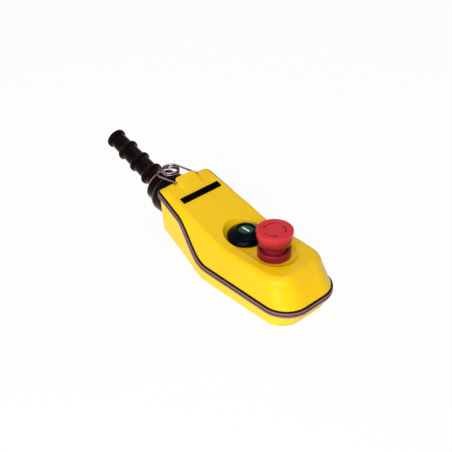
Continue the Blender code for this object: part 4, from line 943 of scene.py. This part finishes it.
COPPER = (1.0, 0.38, 0.22, 1.0)
BLUISH = (0.45, 0.45, 1.0, 1.0)
VIOLET = (0.9, 0.4, 1.0, 1.0)
DULL_RED = (0.10, 0.04, 0.04, 1.0)
RIM_GLOW = {"specular_ior_level": 0.06, "sheen_weight": 0.9, "sheen_roughness": 0.28, "sheen_tint": COPPER}
MOULDED = {"specular_ior_level": 0.24}
finishes = {
    # The cover and base are one yellow plastic in two copies: the cover's gold is painted shade, the base's
    # lemon painted light.
    "yellow_cover": finish(
        "yellow_painted_shade", (0.90, 0.57, 0.002), (0.86, 0.53, 0.002), (0.26, 0.34), 1500, 0.05 * MM,
        **MOULDED),
    "yellow_base": finish(
        "yellow_painted_light", (0.93, 0.68, 0.016), (0.90, 0.64, 0.012), (0.30, 0.40), 1500, 0.05 * MM,
        **MOULDED),
    "black_rubber": finish(
        "moulded_rubber", (0.003, 0.002, 0.0025), (0.002, 0.0015, 0.002), (0.14, 0.22), 900, 0.03 * MM,
        **RIM_GLOW),
    "guard_rubber": finish(
        "guard_rubber", (0.002, 0.002, 0.003), (0.001, 0.001, 0.002), (0.22, 0.30), 900, 0.04 * MM,
        specular_ior_level=0.11, specular_tint=BLUISH),
    # Painted highlight: these mauve tones stand for the light on the ribs of a near-black rubber.
    "gasket_rubber": finish(
        "gasket_rubber", (0.31, 0.155, 0.160), (0.23, 0.115, 0.120), (0.30, 0.42), 900, 0.05 * MM,
        specular_ior_level=0.30, specular_tint=BLUISH),
    "black_plastic": finish(
        "black_plastic", (0.002, 0.002, 0.002), (0.001, 0.001, 0.001), (0.30, 0.42), 1600, 0.04 * MM,
        specular_ior_level=0.01),
    "grey_plastic": finish(
        "grey_plastic", (0.27, 0.28, 0.29), (0.22, 0.23, 0.24), (0.45, 0.58), 1300, 0.06 * MM),
    "white_plastic": finish(
        "white_plastic", (0.82, 0.82, 0.80), (0.76, 0.76, 0.73), (0.32, 0.42), 1600, 0.04 * MM),
    "stop_red": finish(
        "stop_red", (0.66, 0.026, 0.040), (0.57, 0.018, 0.030), (0.22, 0.30), 1700, 0.03 * MM, **MOULDED),
    # Painted shade: the floor of the pressed arrows is the stop red darkened.
    "arrow_painted_shade": finish(
        "arrow_painted_shade", (0.24, 0.010, 0.020), (0.19, 0.007, 0.014), (0.35, 0.45), 1700, 0.03 * MM, **MOULDED),
    # Painted shade: the collar's dark red is the stop red as it looks in the shade under the head.
    "collar_red": finish(
        "collar_red", (0.26, 0.012, 0.024), (0.21, 0.009, 0.018), (0.18, 0.26), 1700, 0.03 * MM,
        specular_ior_level=0.4, specular_tint=VIOLET),
    "start_green": finish(
        "start_green", (0.006, 0.082, 0.036), (0.004, 0.064, 0.028), (0.22, 0.30), 1700, 0.03 * MM,
        **MOULDED),
    "contact_red": finish(
        "contact_red", (0.50, 0.045, 0.040), (0.42, 0.030, 0.028), (0.42, 0.55), 1300, 0.06 * MM),
    "contact_green": finish(
        "contact_green", (0.030, 0.26, 0.10), (0.020, 0.20, 0.075), (0.42, 0.55), 1300, 0.06 * MM),
    "bright_steel": finish(
        "zinc_plate", (0.74, 0.74, 0.76), (0.60, 0.60, 0.63), (0.22, 0.36), 1200, 0.05 * MM,
        cloud=90, metallic=1.0),
    # Painted reflections: the copper brown and bluish white tones, in random blotches, stand for the light
    # on a polished steel wire.
    "bail_steel": finish(
        "wire_painted_reflections", (0.50, 0.47, 0.62), (0.34, 0.17, 0.13), (0.12, 0.22), 2200, 0.02 * MM,
        cloud=160, metallic=1.0, specular_tint=DULL_RED),
}
# Painted shade: the head's flank darkens towards its foot, under the rim, where shade falls.
paint_shade_below(finishes["stop_red"], HEAD_FOOT, HEAD_RIM + 1 * MM, 0.08)
# Painted highlight on the rib crests; the groove and edges keep the near black, also standing for shade.
ribs_painted_highlight(finishes["gasket_rubber"], (0.006, 0.004, 0.006))
print("finishes:", len(finishes))

# %% [markdown]
# ## Dressing the model
# Each new skin takes a finish, stands in for the plain piece it covers and rides on the same
# body of the mechanism, so that it moves with it. The inner pieces keep their own shapes and
# only get their finishes.

# %% Dress
DRESSED = [
    (cover, "yellow_cover", "yellow_cover", "housing", ["upper_shell"]),
    (base, "yellow_base", "yellow_base", "housing", ["lower_shell"]),
    (gasket, "gasket_rubber", "black_rubber", "housing", ["seam_gasket"]),
    (boot, "black_rubber", "black_rubber", "housing", ["cable_boot"]),
    (bail, "bail_steel", "bail_steel", "bail", ["suspension_bail"]),
    (label, "black_plastic", "black_plastic", "housing", ["label_plate"]),
    (guard, "guard_rubber", "black_rubber", "housing", ["start_guard"]),
    (cap, "start_green", "start_green", "start_button", ["start_cap"]),
    (bar, "white_plastic", "white_plastic", "start_button", []),
    (mushroom, "stop_red", "stop_red", "stop_twist", ["stop_head"]),
    (collar, "collar_red", "collar_red", "housing", ["stop_collar"]),
]
DRESSED += [(screw, "bright_steel", "bright_steel", "housing", [node]) for node, screw in screws.items()]
for piece, look, slot_name, body, covered in DRESSED:
    piece.data.materials.clear()
    piece.data.materials.append(finishes[look])
    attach(piece, body)
    if covered:
        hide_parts(*covered)
for node, spring in springs.items():
    spring.data.materials.append(finishes["bright_steel"])
    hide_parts(node)
# Painted shade in the pressed arrows, given as their own darker red.
mushroom.data.materials.append(finishes["arrow_painted_shade"])
mushroom.data.polygons.foreach_set("material_index", pressed.astype(np.int32))
covered_nodes = {name for row in DRESSED for name in row[4]} | set(springs)
for part_row in frame["record"]["subparts"]:
    name = part_row["node"]
    if name not in covered_nodes:
        nodes[name].data.materials.clear()
        nodes[name].data.materials.append(finishes[part_row["material_slot"]])
print("new pieces:", len(DRESSED) + len(springs), "- inner pieces:", len(nodes) - len(covered_nodes))

# %% [markdown]
# ## Floor, light and camera
# The handset lies on a white sweep. A large warm lamp stands low on the left of the camera, so
# the walls come out lighter than the top. The lemon yellow of the base and the deeper gold of the
# cover are also painted in, as a lit and a shaded copy of one yellow plastic. A small lamp beside
# the camera puts soft highlights on the rounded edges, and a weak one hangs above. The floor looks
# plain white to the camera and in reflections, and still takes a faint shadow.

# %% Floor
FLOOR_R, FLOOR_PLAIN = 20.0, 0.94


def white_to_view(tree, lit, share):
    """Mixes a shader with plain white by a share for camera, glossy and transmission rays."""
    plain = tree.nodes.new("ShaderNodeEmission")
    rays = tree.nodes.new("ShaderNodeLightPath")
    seen = rays.outputs["Is Camera Ray"]
    for kind in ("Is Glossy Ray", "Is Transmission Ray"):
        either = tree.nodes.new("ShaderNodeMath")
        either.operation = "MAXIMUM"
        tree.links.new(seen, either.inputs[0])
        tree.links.new(rays.outputs[kind], either.inputs[1])
        seen = either.outputs["Value"]
    amount = tree.nodes.new("ShaderNodeMath")
    amount.operation = "MULTIPLY"
    amount.inputs[1].default_value = share
    mix = tree.nodes.new("ShaderNodeMixShader")
    tree.links.new(seen, amount.inputs[0])
    tree.links.new(amount.outputs["Value"], mix.inputs["Fac"])
    tree.links.new(lit, mix.inputs[1])
    tree.links.new(plain.outputs["Emission"], mix.inputs[2])
    return mix.outputs["Shader"]


def white_floor():
    """A disc 40 m across, 94 parts plain white to the camera and 6 parts lit floor."""
    a = np.linspace(0, 2 * math.pi, 96, endpoint=False)
    circle = np.column_stack([np.cos(a), np.sin(a)])
    rows = [at(r * circle, -0.2 * MM) for r in (0.01, FLOOR_R)]
    item = skin("floor", rows, (True, False))
    material = bpy.data.materials.new("white_floor")
    material.use_nodes = True
    tree = material.node_tree
    lit = tree.nodes["Principled BSDF"]
    lit.inputs["Base Color"].default_value = (0.90, 0.90, 0.90, 1.0)
    lit.inputs["Roughness"].default_value = 0.9
    seen = white_to_view(tree, lit.outputs["BSDF"], FLOOR_PLAIN)
    tree.links.new(seen, tree.nodes["Material Output"].inputs["Surface"])
    item.data.materials.append(material)
    return item


floor = white_floor()


# %% Light
AIM = (-0.04, 0.0, 0.05)


def lamp(name, place, size, power, colour):
    """A square soft lamp that looks at the middle of the handset."""
    data = bpy.data.lights.new(name, "AREA")
    data.shape = "SQUARE"
    data.size = size
    data.energy = power
    data.color = colour
    item = bpy.data.objects.new(name, data)
    bpy.context.scene.collection.objects.link(item)
    away = np.array(place) - AIM
    item.location = place
    item.rotation_mode = "QUATERNION"
    item.rotation_quaternion = Vector(away).to_track_quat("Z", "Y")


lamp("key", (0.42, -1.02, 0.5), 0.7, 8.0, (1.0, 0.94, 0.86))
lamp("front", (0.66, -0.62, 0.68), 0.13, 3.4, (1.0, 0.98, 0.95))
lamp("top", (-0.1, 0.25, 1.3), 0.9, 2.8, (1.0, 0.98, 0.95))
world = bpy.data.worlds.new("studio")
world.use_nodes = True
plain = world.node_tree.nodes["Background"]
plain.inputs["Color"].default_value = (1.0, 1.0, 1.0, 1.0)
plain.inputs["Strength"].default_value = 0.45
bpy.context.scene.world = world
bpy.context.scene.view_settings.view_transform = "Standard"

# %% Camera
eye = (0.5529, -0.5600, 0.6280)
right = (0.6808, 0.7324, -0.0070)
up = (-0.4129, 0.3917, 0.8222)
back = (0.6049, -0.5569, 0.5691)
lens_data = bpy.data.cameras.new("photo_camera")
lens_data.sensor_width = 36.0
lens_data.lens = 71.68
camera = bpy.data.objects.new("photo_camera", lens_data)
bpy.context.scene.collection.objects.link(camera)
camera.matrix_world = Matrix([(right[k], up[k], back[k], eye[k]) for k in range(3)] + [(0, 0, 0, 1)])
bpy.context.scene.camera = camera
